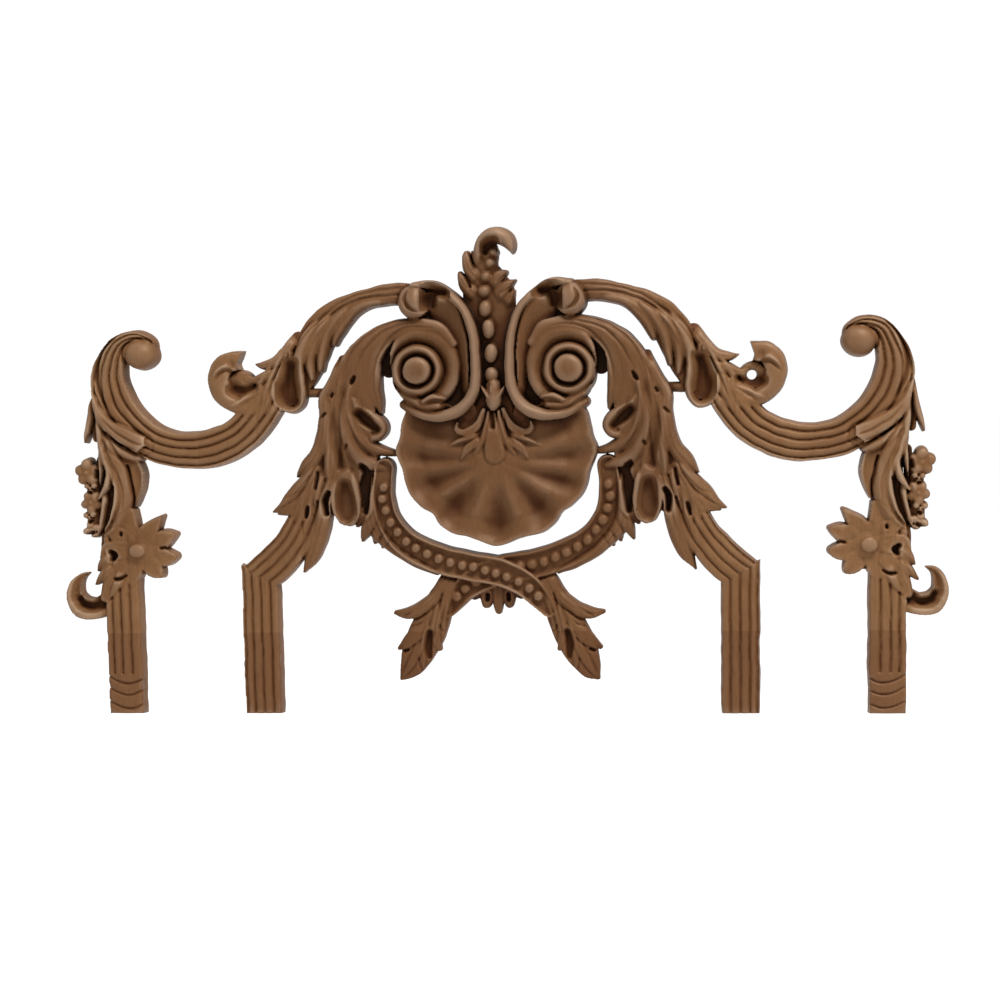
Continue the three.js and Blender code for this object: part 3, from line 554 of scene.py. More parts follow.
def great_leaf(sheet):
    """The great acanthus leaf between the spiral and the inner leg."""
    h = LEAF
    floor_under(sheet, [[134, 18, 7], [134, -6, 7], [134, -30, 6]], 5)
    floor_under(sheet, [[106, 126, 9], [109, 112, 8], [109, 108, 8]], 5)
    floor_under(sheet, [[121, 46, 8], [124, 52, 8], [133, 60, 10], [138, 40, 12], [130, 26, 9],
                        [128, 14, 7]], 15)
    floor_under(sheet, [[127, 6, 6]], 4)
    lay(sheet, [
        [40, 134, 6, h], [52, 148, 8, h], [66, 151.5, 9, h], [84, 151, 10.5, h - 1],
        [108, 145, 12.4, h - 1], [127, 129.5, 17, h], [141, 103, 23, h - 1], [148, 70, 27, h - 4],
        [156, 35, 28, h - 8], [169, 0, 29, h - 11], [179, -22, 21, h - 13],
    ], round_back_low)
    leaves(sheet, [
        [[150, 120, 5, h - 2], [160, 96, 7, h - 1], [166, 60, 9, h - 1], [168, 28, 9, h - 2],
         [170, 2, 8, h - 5]],
        [[156, 120, 5, h - 2], [167, 96, 6, h - 1], [175.5, 80, 6.5, h - 2], [174.5, 60, 7.5, h - 2],
         [181.5, 28, 8.5, h - 3], [195, 10, 8.5, h - 6], [207, -1, 1, h - 13]],
        [[180, 16, 5, h - 5], [194, -3, 8.5, h - 4], [209, -18, 9, h - 7], [221, -31, 6.5, h - 10],
         [233, -37, 1.5, h - 15]],
        [[184, 2, 4, h - 6], [200, -21, 7, h - 6], [212, -34, 6.5, h - 9], [227, -39, 2, h - 14]],
        [[181, 4, 4, h - 5], [196, -18, 5.5, h - 5], [204, -34, 5, h - 8], [209, -47, 1, h - 11]],
        [[179, 8, 4, h - 4], [190, -20, 4.5, h - 5], [196, -40, 4.5, h - 8], [199, -59, 1.2, h - 10]],
        [[176, 6, 4, h - 4], [183, -16, 4.5, h - 4], [188, -39, 1.2, h - 8]],
        [[166, 8, 6, h - 5], [176, -26, 7.5, h - 4], [182, -53, 9.5, h - 7], [191, -78, 9, h - 11],
         [202, -99, 1.6, h - 15]],
    ], ditch=1.2)
    lay(sheet, [[157, 12, 8, h - 6], [156.5, -8, 12, h - 6], [155, -24, 13.5, h - 7],
                [155, -38, 12.5, h - 8], [155.5, -43, 9, h - 9]], round_back_low, ditch=2, emerge=10)
    slot(sheet, [[156, -10, 1.5], [155.5, -22, 5.5], [155, -34, 6.5], [155.5, -42, 3.5]], 11, 1.3)
    leaves(sheet, [
        [[150, 8, 4, h - 5], [145, -8, 4, h - 4], [142, -24, 3.4, h - 5], [141.5, -36, 2.6, h - 7],
         [145, -46, 2.4, h - 9], [153, -50.5, 2.2, h - 10]],
        [[163, 4, 4, h - 5], [167, -10, 4, h - 4], [168, -25, 3.4, h - 5], [166.5, -38, 2.6, h - 7],
         [161, -48, 2.2, h - 9]],
        [[116, 139, 5, h - 3], [121, 116, 6.5, h - 2], [123, 94, 8, h - 3], [120, 78, 6, h - 6],
         [117.5, 66, 3, h - 9]],
    ], ditch=0.8)
    lay(sheet, [[146, 84, 5, h], [139, 69, 5.5, h], [127, 63, 5.5, h - 3], [117.5, 56, 5.5, h - 4],
                [114, 48, 5, h - 6], [118, 41, 5, h - 7], [126, 38.5, 5, h - 6]],
        round_back, ditch=0.6, emerge=8)
    leaves(sheet, [
        [[143, 104, 5, h - 1], [149, 80, 6.5, h + 1], [149, 60, 7, h], [143, 43, 8, h - 3],
         [131, 31, 8, h - 7], [116, 25, 5.5, h - 11], [102, 22, 3, h - 16]],
        [[150, 92, 5, h - 1], [154, 56, 6.5, h], [148, 32, 8, h - 2], [138, 17, 8.5, h - 5],
         [125, 11, 6.5, h - 9], [113, 7, 3, h - 13]],
    ], section=round_back, ditch=0.8)
    swell(sheet, [[157, 96, 3, 1], [158.5, 60, 5, 2.2], [155, 28, 5, 2], [151, 10, 3, 1]])
    swell(sheet, [[164, 70, 3, -1.5], [165, 50, 5.5, -4.5], [162.5, 28, 6, -5], [159, 8, 6, -3]])
    swell(sheet, [[170, 80, 4, 1], [173, 50, 6, 2.4], [173, 22, 6, 2.4], [174, 0, 4, 1]])
    slot(sheet, [[121.5, 47.5, 0.8], [127, 52.5, 2.2], [133.5, 58.5, 3], [138.5, 64, 1.6]], 10, 2.6)
    slots(sheet, [
        ([[142, 102, 0.5], [144, 98, 1.4], [145.5, 95, 0.6]], h - 9),
        ([[165, 85, 0.6], [166.5, 82, 0.9]], h - 8),
        ([[173, 65, 0.6], [176, 62, 1], [179, 60, 0.5]], h - 7),
        ([[152, 32, 0.7], [154, 28.5, 1.1]], h - 9),
        ([[172.5, -17, 0.5], [176, -25, 1.6], [175, -38, 0.7]], 7),
        ([[183, 4, 0.4], [184, -3, 0.7], [186, -12, 0.5]], 13),
        ([[195, -31, 0.5], [196, -36, 1.2], [197.5, -42, 0.5]], 10),
        ([[183.5, -25, 0.4], [185, -31, 0.7], [186.5, -36, 0.4]], 13),
        ([[138, 10, 1], [133.5, 4, 2.4], [133.5, -8, 2.8], [134.5, -24, 2.2], [135.5, -38, 1]], 4),
    ])
    grooves(sheet, [
        [[60, 150, 0.8, 1.6], [84, 151, 1.4, 2.4], [101, 143, 1.6, 2.8], [114, 128, 1.6, 2.8],
         [121, 110, 1.4, 2.2], [122, 95, 0.8, 1.4], [121, 82, 0.5, 0.8]],
        [[70, 156, 0.8, 1.2], [88, 154.5, 1.4, 2.2], [112, 146.5, 1.6, 2.8], [129, 131, 1.6, 2.8],
         [138, 116, 1.4, 2.2], [143, 106, 0.6, 1]],
        [[78, 159, 0.8, 1.2], [95, 157.5, 1.4, 2.2], [118, 150, 1.5, 2.6], [138, 135, 1.5, 2.6],
         [150, 116, 1.3, 2.2], [157, 84, 0.5, 0.8]],
        [[104, 158.5, 0.9, 1.2], [125, 152.5, 1.3, 2.2], [146, 137, 1.3, 2.2], [160, 116, 1.1, 2],
         [169, 95, 0.6, 1]],
        [[185, 10, 0.9, 2], [191, -1, 1.5, 3], [201, -15, 1.5, 3], [214, -27, 1.2, 2.4],
         [227, -34, 0.5, 1]],
        [[204, -14, 0.6, 1.2], [212, -19, 1.1, 2], [219, -21, 0.6, 1.2]],
        [[136, 78, 0.7, 1.4], [135, 70, 0.9, 1.6]],
        [[149, 77, 0.6, 1], [149.5, 57, 1.5, 2.4], [142, 38, 1.6, 2.6], [129, 23, 0.9, 1.6]],
        [[180, -44, 0.6, 1], [186, -60, 1, 1.8], [194, -80, 0.5, 0.8]],
    ])


def spiral(sheet):
    """The spiral: an eye, a ridge round it, and a broad outer ring whose reach changes as it unwinds."""
    x, z = 77.5, 107
    h = SPIRAL
    window = sheet.window(x - 60, x + 50, z - 55, z + 60)
    off_x = sheet.x[window] - x
    off_z = sheet.z[window] - z
    distance = np.hypot(off_x, off_z)
    angle = np.degrees(np.arctan2(off_z, off_x)) % 360
    ridge_reach = 27.5
    ring_width = 18.5
    reach_at = [0, 30, 60, 90, 135, 180, 225, 270, 315]
    reach = np.interp(angle, reach_at, [ridge_reach, 33, 41, 45, 48.5, 45, 44, 38, 31], period=360)
    share = (distance - ridge_reach) / np.maximum(reach - ridge_reach, 1)
    outer = ridge_reach + 0.1 + share * ring_width
    place = np.where(distance <= ridge_reach, distance, outer)
    profile_at = [0, 9, 13, 14.3, 15.3, 16.8, 18.5, 21, 24, 26.2, 27.6, 29.5, 33, 38, 43, 46]
    profile = [-1, -2, -4, -9, -19, -18, -10, -6.5, -7.5, -13, -20, -15, -10, -8, -10, -16]
    top = h + np.interp(place, profile_at, profile)
    unwinding = ((angle - 30) % 360) / 360
    top = top - 4.0 * unwinding * (distance > 29)
    put(sheet, window, walled(top, reach - distance))


def scroll(sheet):
    """The C-shaped scroll rim, the broad face inside it, the knob at its top and the husk at its foot."""
    h = SCROLL
    floor_under(sheet, [[52, 124, 36]], 9)
    floor_under(sheet, [[50, 160, 22], [66, 176, 16]], 9)
    floor_under(sheet, [[42, 90, 26]], 9)
    lay(sheet, [
        [28, 78, 4, 25], [29.5, 100, 6.5, 27], [32, 126, 9.5, 28], [39, 148, 13.5, 28], [49, 164, 15.5, 27],
        [62, 176, 12, 25],
    ], high_on_the_left)
    spiral(sheet)
    lay(sheet, [
        [80, 193, 5, h - 2], [60, 193.5, 5.5, h - 1], [43, 182.5, 6.2, h], [28.5, 167, 6.2, h],
        [20, 144, 6.4, h], [17.5, 114, 6.6, h], [19.5, 88, 7.2, h], [30, 70, 7.6, h],
        [46, 61.5, 7.6, h - 1], [64, 60.5, 7, h - 4], [82, 66, 6.4, h - 8], [93, 72.5, 5.5, h - 13],
    ], round_back, ditch=1.6)
    dome(sheet, 80, 176.5, 16.8, 18.8, h - 13, h + 2, ditch=2)
    groove(sheet, [[85, 187.5, 1, 2], [88, 179, 2.6, 5], [83, 170, 2.6, 5], [74, 166, 1, 2]])
    slot(sheet, [[50, 186, 0.8], [58, 186, 1.6], [63, 180, 2.6], [63, 172, 1.4]], 10, 1.8)
    lay(sheet, [[50, 71, 5, h - 6], [66, 70.5, 7, h - 5], [82, 76, 7, h - 7], [94, 84, 4.5, h - 10],
                [99, 92, 1.6, h - 14]], round_back, ditch=1, emerge=6)
    lay(sheet, [[72, 75, 4, h - 4], [60, 80, 4.5, h - 3], [46, 77, 1.2, h - 6]], round_back, ditch=1.2)
    grooves(sheet, [
        [[56, 66, 0.8, 1.6], [66, 64.5, 1.5, 2.4], [79, 69, 1.4, 2.2], [92, 78, 0.8, 1.4]],
        [[62, 74, 0.8, 1.2], [72, 73, 1.3, 2], [84, 80, 0.8, 1.4]],
    ])


def strap(sheet, rise, hidden_beads=()):
    """The beaded strap from the great leaf. Beads that lie under the other strap are left out."""
    h = STRAP + rise
    half = 15.5
    path = [
        [114.5, 8, half * 0.7, h], [116.5, -20, half * 0.76, h], [111.5, -46, half * 0.82, h],
        [93, -70, half * 0.95, h], [61, -86.2, half, h], [24, -95.2, half, h], [-5, -101, half, h],
        [-31, -115, half * 0.9, h], [-52, -138, half * 0.6, h - 2],
    ]
    lay(sheet, path, channel, ditch=3)
    beads = [
        (115, -12), (117, -24), (114, -36), (109, -48), (102, -58), (93, -68), (83, -75), (71.5, -81),
        (60, -86), (48, -90), (35.5, -93), (24, -94.5), (12, -98), (1, -101), (-10, -105), (-22, -110),
        (-33, -117), (-42, -125),
    ]
    for number, (x, z) in enumerate(beads):
        if number not in hidden_beads:
            dome(sheet, x, z, 6.1, 6.1, h * 0.76, h + 0.6, power=0.45)


def strap_leaf(sheet):
    """The leaf that wraps the outer edge of the strap."""
    h = STRAP + 2
    leaves(sheet, [
        [[128, -3, 4, h + 2], [131, -30, 7, h + 3], [127, -54, 8, h], [108, -75, 6, h - 1],
         [86, -90, 5, h - 3], [63, -101, 3, h - 5]],
        [[129, -30, 6, h + 1], [138, -42, 6.5, h - 2], [145, -51, 2.5, h - 7]],
        [[127, -40, 7, h + 2], [135, -55, 6.5, h - 1], [139.5, -67, 2, h - 6]],
        [[118, -50, 7, h + 1], [125, -61, 5, h - 2], [127, -69, 2, h - 7]],
        [[112, -58, 6, h], [117, -69, 4, h - 3], [119, -74, 2, h - 7]],
    ])


def cross_leaf(sheet):
    """The leaf that each strap ends in, below the crossing."""
    h = STRAP + 1
    leaves(sheet, [
        [[44, -98, 10, h - 1], [56, -120, 12, h], [68, -148, 18, h - 1], [81, -176, 18.5, h - 2],
         [91.5, -197, 12.5, h - 5], [102.5, -211, 2, h - 8]],
        [[57, -118, 6, h + 1], [75, -134, 7, h + 1], [93, -143, 6.5, h - 2], [107.5, -142.5, 2.5, h - 7]],
        [[70, -132, 5, h + 1], [84, -143, 5, h - 1], [95, -147, 2.5, h - 5]],
        [[74, -150, 7, h], [90, -168, 7.5, h - 3], [104, -179, 2.5, h - 7]],
        [[50, -118, 6, h + 1], [57, -142, 5, h], [57, -158, 2.5, h - 4]],
        [[58, -128, 5, h + 2], [66, -158, 5.5, h], [62, -180, 2.8, h - 5]],
        [[68, -150, 5, h + 1], [78, -178, 5.5, h - 2], [79, -199, 2, h - 6]],
        [[78, -168, 5, h], [90, -192, 5, h - 3], [100, -207, 2, h - 6]],
    ])
    slot(sheet, [[71, -162, 0.8], [73, -176, 2.2], [72, -188, 1.2]], 6, 2.4)
    slot(sheet, [[94, -180, 0.6], [98, -181.5, 1]], 6)
    groove(sheet, [[76, -149, 0.7, 1.5], [82, -154, 1.4, 3], [90, -156, 0.7, 1.2]])
    groove(sheet, [[57, -122, 0.8, 1.4], [62, -142, 1.2, 2], [66, -165, 0.8, 1.4]])


def hanging_leaf(sheet):
    """The leaf that hangs from the elbow of the arm over the outer leg."""
    h = LEAF - 1
    floor_under(sheet, [[392, 20, 18], [395, -30, 16], [405, -70, 11]], 12)
    floor_under(sheet, [[412, 76, 6], [417, 56, 6], [419, 42, 4]], 12)
    lay(sheet, [[388, 30, 6, h - 2], [377, 12, 8.5, h - 3], [373, -6, 6.5, h - 4],
                [377.5, -28, 2, h - 9]], cupped)
    leaves(sheet, [
        [[410, 52, 4, h - 2], [399, 26, 10, h], [390, -4, 12, h - 1], [391, -32, 9.5, h - 3],
         [400, -50, 5.5, h - 5], [411, -58, 1.5, h - 8]],
        [[418, 92, 3, h - 3], [413.5, 60, 5, h - 2], [411, 26, 5, h - 2], [414, -8, 1.2, h - 6]],
        [[413, 44, 3, h - 1], [406, 20, 5, h + 1], [397, 0, 5, h + 1], [396, -20, 4.6, h],
         [403, -40, 3.6, h - 2], [411.5, -55, 1.2, h - 6]],
        [[409, 22, 4, h], [403, 8, 4.6, h + 1], [405.5, -6, 5, h + 1], [415, -20, 2.2, h - 3]],
        [[410, -10, 4, h - 4], [410, -28, 4.4, h - 4], [413.5, -44, 4, h - 6], [419, -59, 1.5, h - 10]],
        [[420, 88, 3, h - 5], [423, 64, 4.6, h - 6], [427.5, 48, 3.8, h - 8], [430, 39, 2, h - 11]],
    ], section=round_back, ditch=1.4, emerge=14)

    def before_its_end(x, z):
        return x > 362.5 + 1.4 * np.clip(35 - z, 0, 6)

    lay(sheet, [
        [420, 92, 1.8, h - 3], [413, 71, 5.5, h - 1], [403, 56.5, 8, h + 1], [389, 47, 10, h + 2],
        [374, 39, 11, h + 3], [366, 35.5, 11, h + 3],
    ], round_back_low, where=before_its_end, ditch=1.6)
    lay(sheet, [[408, 46, 4, h - 2], [394, 32, 6, h], [380, 24, 6, h - 1], [372, 21.5, 4.5, h - 3]],
        round_back, ditch=1.6, emerge=8)
    slots(sheet, [
        ([[384, 14, 0.4], [380, -4, 0.8], [378, -18, 0.9], [379, -30, 0.5]], 14),
        ([[400, -8, 0.6], [403.5, -24, 2], [407, -38, 2], [411, -48, 0.8]], 10),
    ])
    grooves(sheet, [
        [[366, 36, 1.2, 2], [378, 40, 1.8, 3], [396, 51, 1.6, 2.6], [408, 63, 0.8, 1.4]],
        [[372, 30, 1, 2.4], [391, 38, 1.7, 3.2], [404, 50, 1, 2]],
        [[380, 2, 0.8, 2], [389, 22, 1.8, 3.4], [402, 41, 1.7, 3], [411, 56, 0.8, 1.6]],
        [[395, 10, 0.7, 1.2], [388, -10, 1.5, 2.4], [389, -32, 0.8, 1.2]],
        [[416, 78, 0.6, 1.2], [417, 56, 1.3, 2.2], [417, 36, 0.6, 1.2]],
    ])


def flower(sheet):
    """The open flower beside the head of the outer leg."""
    h = FLOWER
    floor_under(sheet, [[372, -76, 25], [392, -72, 18], [396, -92, 12]], 13)
    for petal in (
        [[380, -66, 11, h - 6], [386, -50, 12, h - 4], [381, -34, 4.5, h - 4]],
        [[373, -68, 9, h - 6], [364, -55, 10.5, h - 4], [350, -39.5, 2.2, h - 6]],
        [[366, -72, 9, h - 6], [350, -64, 10.5, h - 4], [336.5, -58.5, 3, h - 6]],
        [[365, -78, 9, h - 6], [350, -82, 10.5, h - 4], [338, -81.5, 4.8, h - 6]],
        [[370, -84, 9, h - 6], [360, -94, 10.5, h - 4], [353.5, -101, 4.4, h - 6]],
        [[378, -84, 9, h - 6], [382, -97, 11, h - 4], [383.5, -111, 2, h - 6]],
        [[384, -82, 8, h - 6], [394, -91, 9.5, h - 3], [401, -97, 4, h - 5]],
        [[386, -74, 8, h - 6], [398, -74, 11, h - 2], [410, -71, 5, h - 4], [415, -82, 3, h - 6]],
        [[384, -64, 7, h - 6], [396, -58, 9, h - 3], [405, -56, 4, h - 5]],
    ):
        lay(sheet, petal, dished, ditch=0.7)
    dome(sheet, 374, -75, 17, 15, h - 7, h - 4, power=1)
    dome(sheet, 375.5, -74.5, 10.5, 9, h - 4, h + 1, power=0.7)
    slots(sheet, [
        ([[404.5, -76, 0.8], [401, -80, 2.2], [403, -84, 0.8]], 8),
        ([[393, -56, 0.7], [393, -58, 0.7]], 12),
        ([[346, -71.5, 0.5], [351, -72.5, 0.7]], 12),
        ([[389, -101, 0.6], [395, -104, 1], [401, -104, 0.8]], 13),
    ])


def berries(sheet):
    """The small flowers that run down the outer side of the hanging leaf."""
    h = FLOWER
    floor_under(sheet, [[421, 8, 8], [423, -8, 8], [423, -28, 8], [424, -52, 8]], 13)
    floor_under(sheet, [[415, 20, 5], [416, -10, 5]], 9)
    floor_under(sheet, [[410, -60, 7], [411, -86, 7]], 12)
    for x, z, radius, petals, turn in (
        (428, 7, 13.5, 5, 0.3), (424.5, -9, 8, 3, 0.5), (424, -24, 12, 5, 1.0), (426, -39, 8, 3, 0.4),
        (424.5, -52, 9.5, 4, 1.2),
    ):
        for k in range(petals):
            angle = turn + k / petals * 2 * math.pi
            far = radius * (0.5 + 0.08 * (k % 2))
            dome(sheet, x + math.cos(angle) * far, z + math.sin(angle) * far, radius * 0.6, radius * 0.52,
                 h - 8, h - 4 + 1.5 * (k % 2), turn=angle, power=0.8, ditch=0.3)
        dome(sheet, x, z, radius * 0.34, radius * 0.3, h - 6, h - 3, power=0.8)
    slots(sheet, [
        ([[417, 9, 0.8], [417.5, 3, 1]], 10),
        ([[424, -14, 0.6], [426, -13.5, 0.6]], 11),
        ([[424, -43, 0.7], [426, -44, 1.1]], 10),
        ([[423, -55, 0.9], [427, -57, 1.1]], 10),
    ])


def hook(sheet):
    """The hook that curls out from the side of the outer leg, with the leaves above it."""
    h = HOOK
    lay(sheet, [
        [414, -132, 12, h - 4], [424, -136, 11.5, h], [437, -134.5, 12, h + 1], [445, -124, 9.5, h + 1],
        [445, -112, 7.5, h], [440.5, -103.5, 4.6, h - 4], [432, -98.5, 1, h - 8],
    ], cupped_inside)
    slot(sheet, [[420, -130, 0.8], [427, -133, 2], [436, -131, 1.6], [440, -125, 0.8]], 6, 2.4)
    leaves(sheet, [
        [[398, -76, 8, h + 2], [411, -86, 7.5, h + 1], [420, -95, 2.2, h - 5]],
        [[400, -90, 8, h + 2], [413, -100, 6.5, h + 1], [423.5, -110, 2, h - 6]],
        [[402, -92, 7, h + 2], [409, -112, 8, h], [413, -124, 6, h - 2]],
        [[393, -92, 6, h + 2], [399, -110, 6, h + 3], [408, -124.5, 1.6, h]],
    ], ditch=1.2, emerge=8)
    for x, z, end_x, end_z in ((431, -134, 447, -139), (436, -128, 450, -130), (439, -119, 451, -120)):
        ridge(sheet, [[x, z, 1, 0.6], [(x + end_x) / 2, (z + end_z) / 2, 1.4, 1.2], [end_x, end_z, 1, 0.6]])


# The forms on the middle line

def shell(sheet):
    """The hollow shell, with flutes that fan out from its hub."""
    hub_x, hub_z = 1, 14
    outline = [
        (-90, 89, -1), (-79, 85, 0), (-68, 84, 1), (-58, 88.5, 0), (-47, 89, -1), (-39, 85, 0),
        (-32, 91, 1), (-18, 97, -1), (-6, 97, 1), (2, 102, -1), (7, 106, 0), (13, 102, 1), (26, 106, -0.4),
        (38, 106, 0), (56, 62, 0),
    ]
    right = np.array(outline, float)
    left = right[1:][::-1].copy()
    left[:, 0] = -180 - left[:, 0]
    rays = np.vstack([left, right])
    window = sheet.window(-118, 118, -90, 90)
    off_x = sheet.x[window] - hub_x
    off_z = sheet.z[window] - hub_z
    distance = np.hypot(off_x, off_z)
    angle = np.degrees(np.arctan2(off_z, off_x))
    angle = np.where(angle > 90, angle - 360, angle)
    rays_at = rays[:, 0]
    fine_at = np.linspace(rays_at[0], rays_at[-1], 400)
    reach = np.interp(angle, fine_at, softened(np.interp(fine_at, rays_at, rays[:, 1]), 4))
    flute = np.interp(angle, fine_at, softened(softened(np.interp(fine_at, rays_at, rays[:, 2]), 7), 6))
    share = np.clip(distance / reach, 0, 1)
    lift = np.interp(share, [0, 0.15, 0.35, 0.55, 0.74, 0.88, 1], [0.95, 0.88, 0.66, 0.36, 0.14, 0.42, 1])
    flute_share = np.interp(share, [0, 0.25, 0.45, 0.7, 0.88, 1], [0, 0.1, 0.55, 1, 0.5, 0.1])
    top = SHELL - 10 * (1 - lift) + 9.5 * flute * flute_share
    put(sheet, window, walled(np.maximum(top, 3.5), reach - distance), (angle < 70) & (angle > -250))


def softened(values, radius):
    """A list of values after a running mean, with its ends kept."""
    kernel = np.ones(2 * radius + 1) / (2 * radius + 1)
    padded = np.concatenate([np.full(radius, values[0]), values, np.full(radius, values[-1])])
    return np.convolve(padded, kernel, mode="valid")


def tuft(sheet):
    """The husk and the tuft of small curled leaves above the shell's hub."""
    h = SHELL
    floor_under(sheet, [[0, 66, 20], [0, 52, 15]], 13)
    floor_under(sheet, [[0, 44, 13], [0, 26, 9]], 17)
    for side in (-1, 1):
        lay(sheet, [[side * 10, 38, 4, h], [side * 20, 32, 5.5, h + 2], [side * 29, 25, 5, h + 2],
                    [side * 34, 17, 2.4, h]], dished, emerge=8)
        lay(sheet, [[side * 14, 42, 4, h], [side * 28, 37, 4.6, h + 1], [side * 40, 33, 3.4, h],
                    [side * 50, 28, 1.4, h - 3]], round_back, emerge=8)
        lay(sheet, [[side * 10, 66, 3.4, h], [side * 15, 53, 5, h], [side * 22, 46, 5.6, h],
                    [side * 32, 43, 4.8, h], [side * 38, 47, 3.8, h], [side * 37.5, 53, 2.4, h]],
            dished, ditch=0.6)
        lay(sheet, [[side * 5, 64, 3, h], [side * 8, 46, 5.4, h + 1], [side * 13, 32, 5, h + 1],
                    [side * 21, 21, 2.8, h]], round_back, ditch=0.8)
        groove(sheet, [[side * 11, 62, 0.8, 1.4], [side * 12, 48, 1.4, 2.6], [side * 16, 36, 1.2, 2]])
    lay(sheet, [[0, 62, 3.2, h + 2], [-0.5, 44, 7, h + 2.5], [0, 29, 11, h + 3], [0.5, 22, 12, h + 2]],
        dished, ditch=1.2)
    slot(sheet, [[-1.5, 66, 0.8], [-1.5, 58, 1], [-1, 48, 0.5]], 14, 3)
    lay(sheet, [[0, 90, 9, h + 5], [0, 77, 9.5, h + 7], [0, 70, 6.5, h + 5]], round_back, ditch=1)
    for side in (-1, 1):
        lay(sheet, [[side * 5, 78, 3, h + 6], [side * 9, 85, 3.2, h + 7], [side * 13, 91, 1.8, h + 5]],
            round_back)
    lay(sheet, [[-2, 84, 3, h + 8], [-2, 92, 2.6, h + 8], [-2, 98, 1.4, h + 6]], round_back)


def bead_column(sheet):
    """The ground between the scrolls."""
    floor_under(sheet, [[0, 62, 22], [0, 100, 14], [0, 130, 15], [-1, 165, 24], [-3, 182, 26]], 11)


def column_beads(sheet):
    """The beads that climb up the ground into the crest."""
    beads = [
        (-1.5, 101, 8, 9, 24), (-2, 123, 8, 11.5, 25), (-4, 147.5, 7.6, 11.5, 24), (-7, 168, 7.8, 10, 23),
        (-8, 186, 8, 7.8, 22), (-6, 201, 7.4, 7, 21.5), (-2, 214, 6.6, 6.2, 21), (2.5, 225, 5.4, 5.2, 20),
    ]
    for x, z, radius_x, radius_z, top in beads:
        dome(sheet, x, z, radius_x, radius_z, top - 8, top, power=0.7, ditch=0.8)


def crest(sheet):
    """The crest leaf, which leans to one side and curls over at its top."""
    h = CREST
    lay(sheet, [
        [-5, 172, 26, h - 10], [-7, 190, 24, h - 9], [-9, 203, 17.5, h - 8], [-8, 214, 14, h - 8],
        [-6, 224, 13, h - 8], [-5, 234, 9, h - 8],
    ], round_back, blend=1)
    leaves(sheet, [
        [[-14, 180, 7, h - 6], [-25, 190, 8, h - 6], [-31, 200, 5, h - 6], [-33, 205, 2.6, h - 8]],
        [[-12, 196, 7, h - 5], [-22, 208, 7.4, h - 5], [-26, 219, 5.4, h - 5], [-26, 225, 3.4, h - 7]],
        [[-10, 210, 5, h - 5], [-16, 220, 5, h - 5], [-20, 226, 2.2, h - 7]],
        [[12, 170, 8, h - 8], [18, 180, 5.5, h - 8], [22, 186, 2, h - 9]],
        [[3, 176, 8, h - 7], [12, 189, 7.4, h - 6], [23, 197, 1.8, h - 9]],
        [[-2, 188, 7, h - 6], [6, 200, 6.8, h - 5], [14, 205, 3, h - 8]],
    ], ditch=1.1, emerge=8)
    lay(sheet, [
        [-15, 213, 4, h - 6], [-13, 227, 6.4, h - 1], [-6, 238, 8, h + 3], [5, 243, 9, h + 7],
        [15.5, 238.5, 8.8, h + 6], [20.5, 229.5, 4.6, h + 3], [21, 225, 2, h + 1],
    ], round_back, ditch=1.6, emerge=6)
    slot(sheet, [[-6, 225, 0.8], [-4, 231, 1.8], [2, 233, 1.2]], 10, 2.4)
    slot(sheet, [[-27, 204, 0.4], [-24, 198, 1], [-22, 191, 0.4]], 12)
    grooves(sheet, [
        [[-22, 222, 0.6, 1.2], [-19, 214, 1.4, 2.4], [-16, 206, 0.8, 1.2]],
        [[6, 196, 0.8, 1.2], [11, 200, 1.4, 2.2], [15, 202, 0.8, 1.2]],
        [[4, 182, 0.8, 1.2], [12, 186, 1.3, 2.2], [19, 190, 0.8, 1.2]],
    ])


def pendant(sheet):
    """The small pierced pendant under the crossing of the straps."""
    h = STRAP - 3
    floor_under(sheet, [[0, -112, 14]], 6)
    for side in (-1, 1):
        lay(sheet, [[side * 16, -108, 8, h - 3], [side * 20, -120, 7, h - 4],
                    [side * 24, -126, 4, h - 6]], leaf_back)
        lay(sheet, [[side * 9.5, -108, 8, h - 1], [side * 11, -124, 8, h - 1],
                    [side * 11.5, -133, 5.5, h - 3]],
            round_back, ditch=1.2)
    lay(sheet, [[0, -106, 7, h], [0, -130, 6, h], [0, -141, 3.6, h - 2]], leaf_back, ditch=1.2)
    for side in (-1, 1):
        slot(sheet, [[side * 11, -124, 1.2], [side * 11, -129, 1.2]], 2.5)


# Putting the halves together

def half_of_the_carving(sheet, pierced):
    arm(sheet)
    upper_arc(sheet)
    curled_leaf(sheet, pierced)
    arc_cup(sheet)
    inner_leg(sheet)
    outer_leg(sheet)
    hook(sheet)
    berries(sheet)
    hanging_leaf(sheet)
    flower(sheet)
    cross_leaf(sheet)


def carve():
    """The whole carving as one sheet."""
    high_x = WIDTH_IN_SQUARES / 2 + MARGIN
    low_z = FOOT - MARGIN
    high_z = CREST_TOP + MARGIN
    whole = Sheet(-high_x, high_x, low_z, high_z, wobble_seed=3)
    bead_column(whole)
    shell(whole)
    crest(whole)
    pendant(whole)
    sides = []
    for hand in (1, -1):
        side = Sheet(-OVERLAP, high_x, low_z, high_z, wobble_seed=10 + hand)
        half_of_the_carving(side, pierced=hand == 1)
        if hand == 1:
            strap(side, 0, BEADS_UNDER_THE_CROSSING)
        else:
            strap(side, STRAP_STEP)
        strap_leaf(side)
        great_leaf(side)
        scroll(side)
        sides.append(side)
    for side, hand in zip(sides, (1, -1)):
        merge(whole, side, hand)
    tuft(whole)
    column_beads(whole)
    level_feet(whole)
    return whole


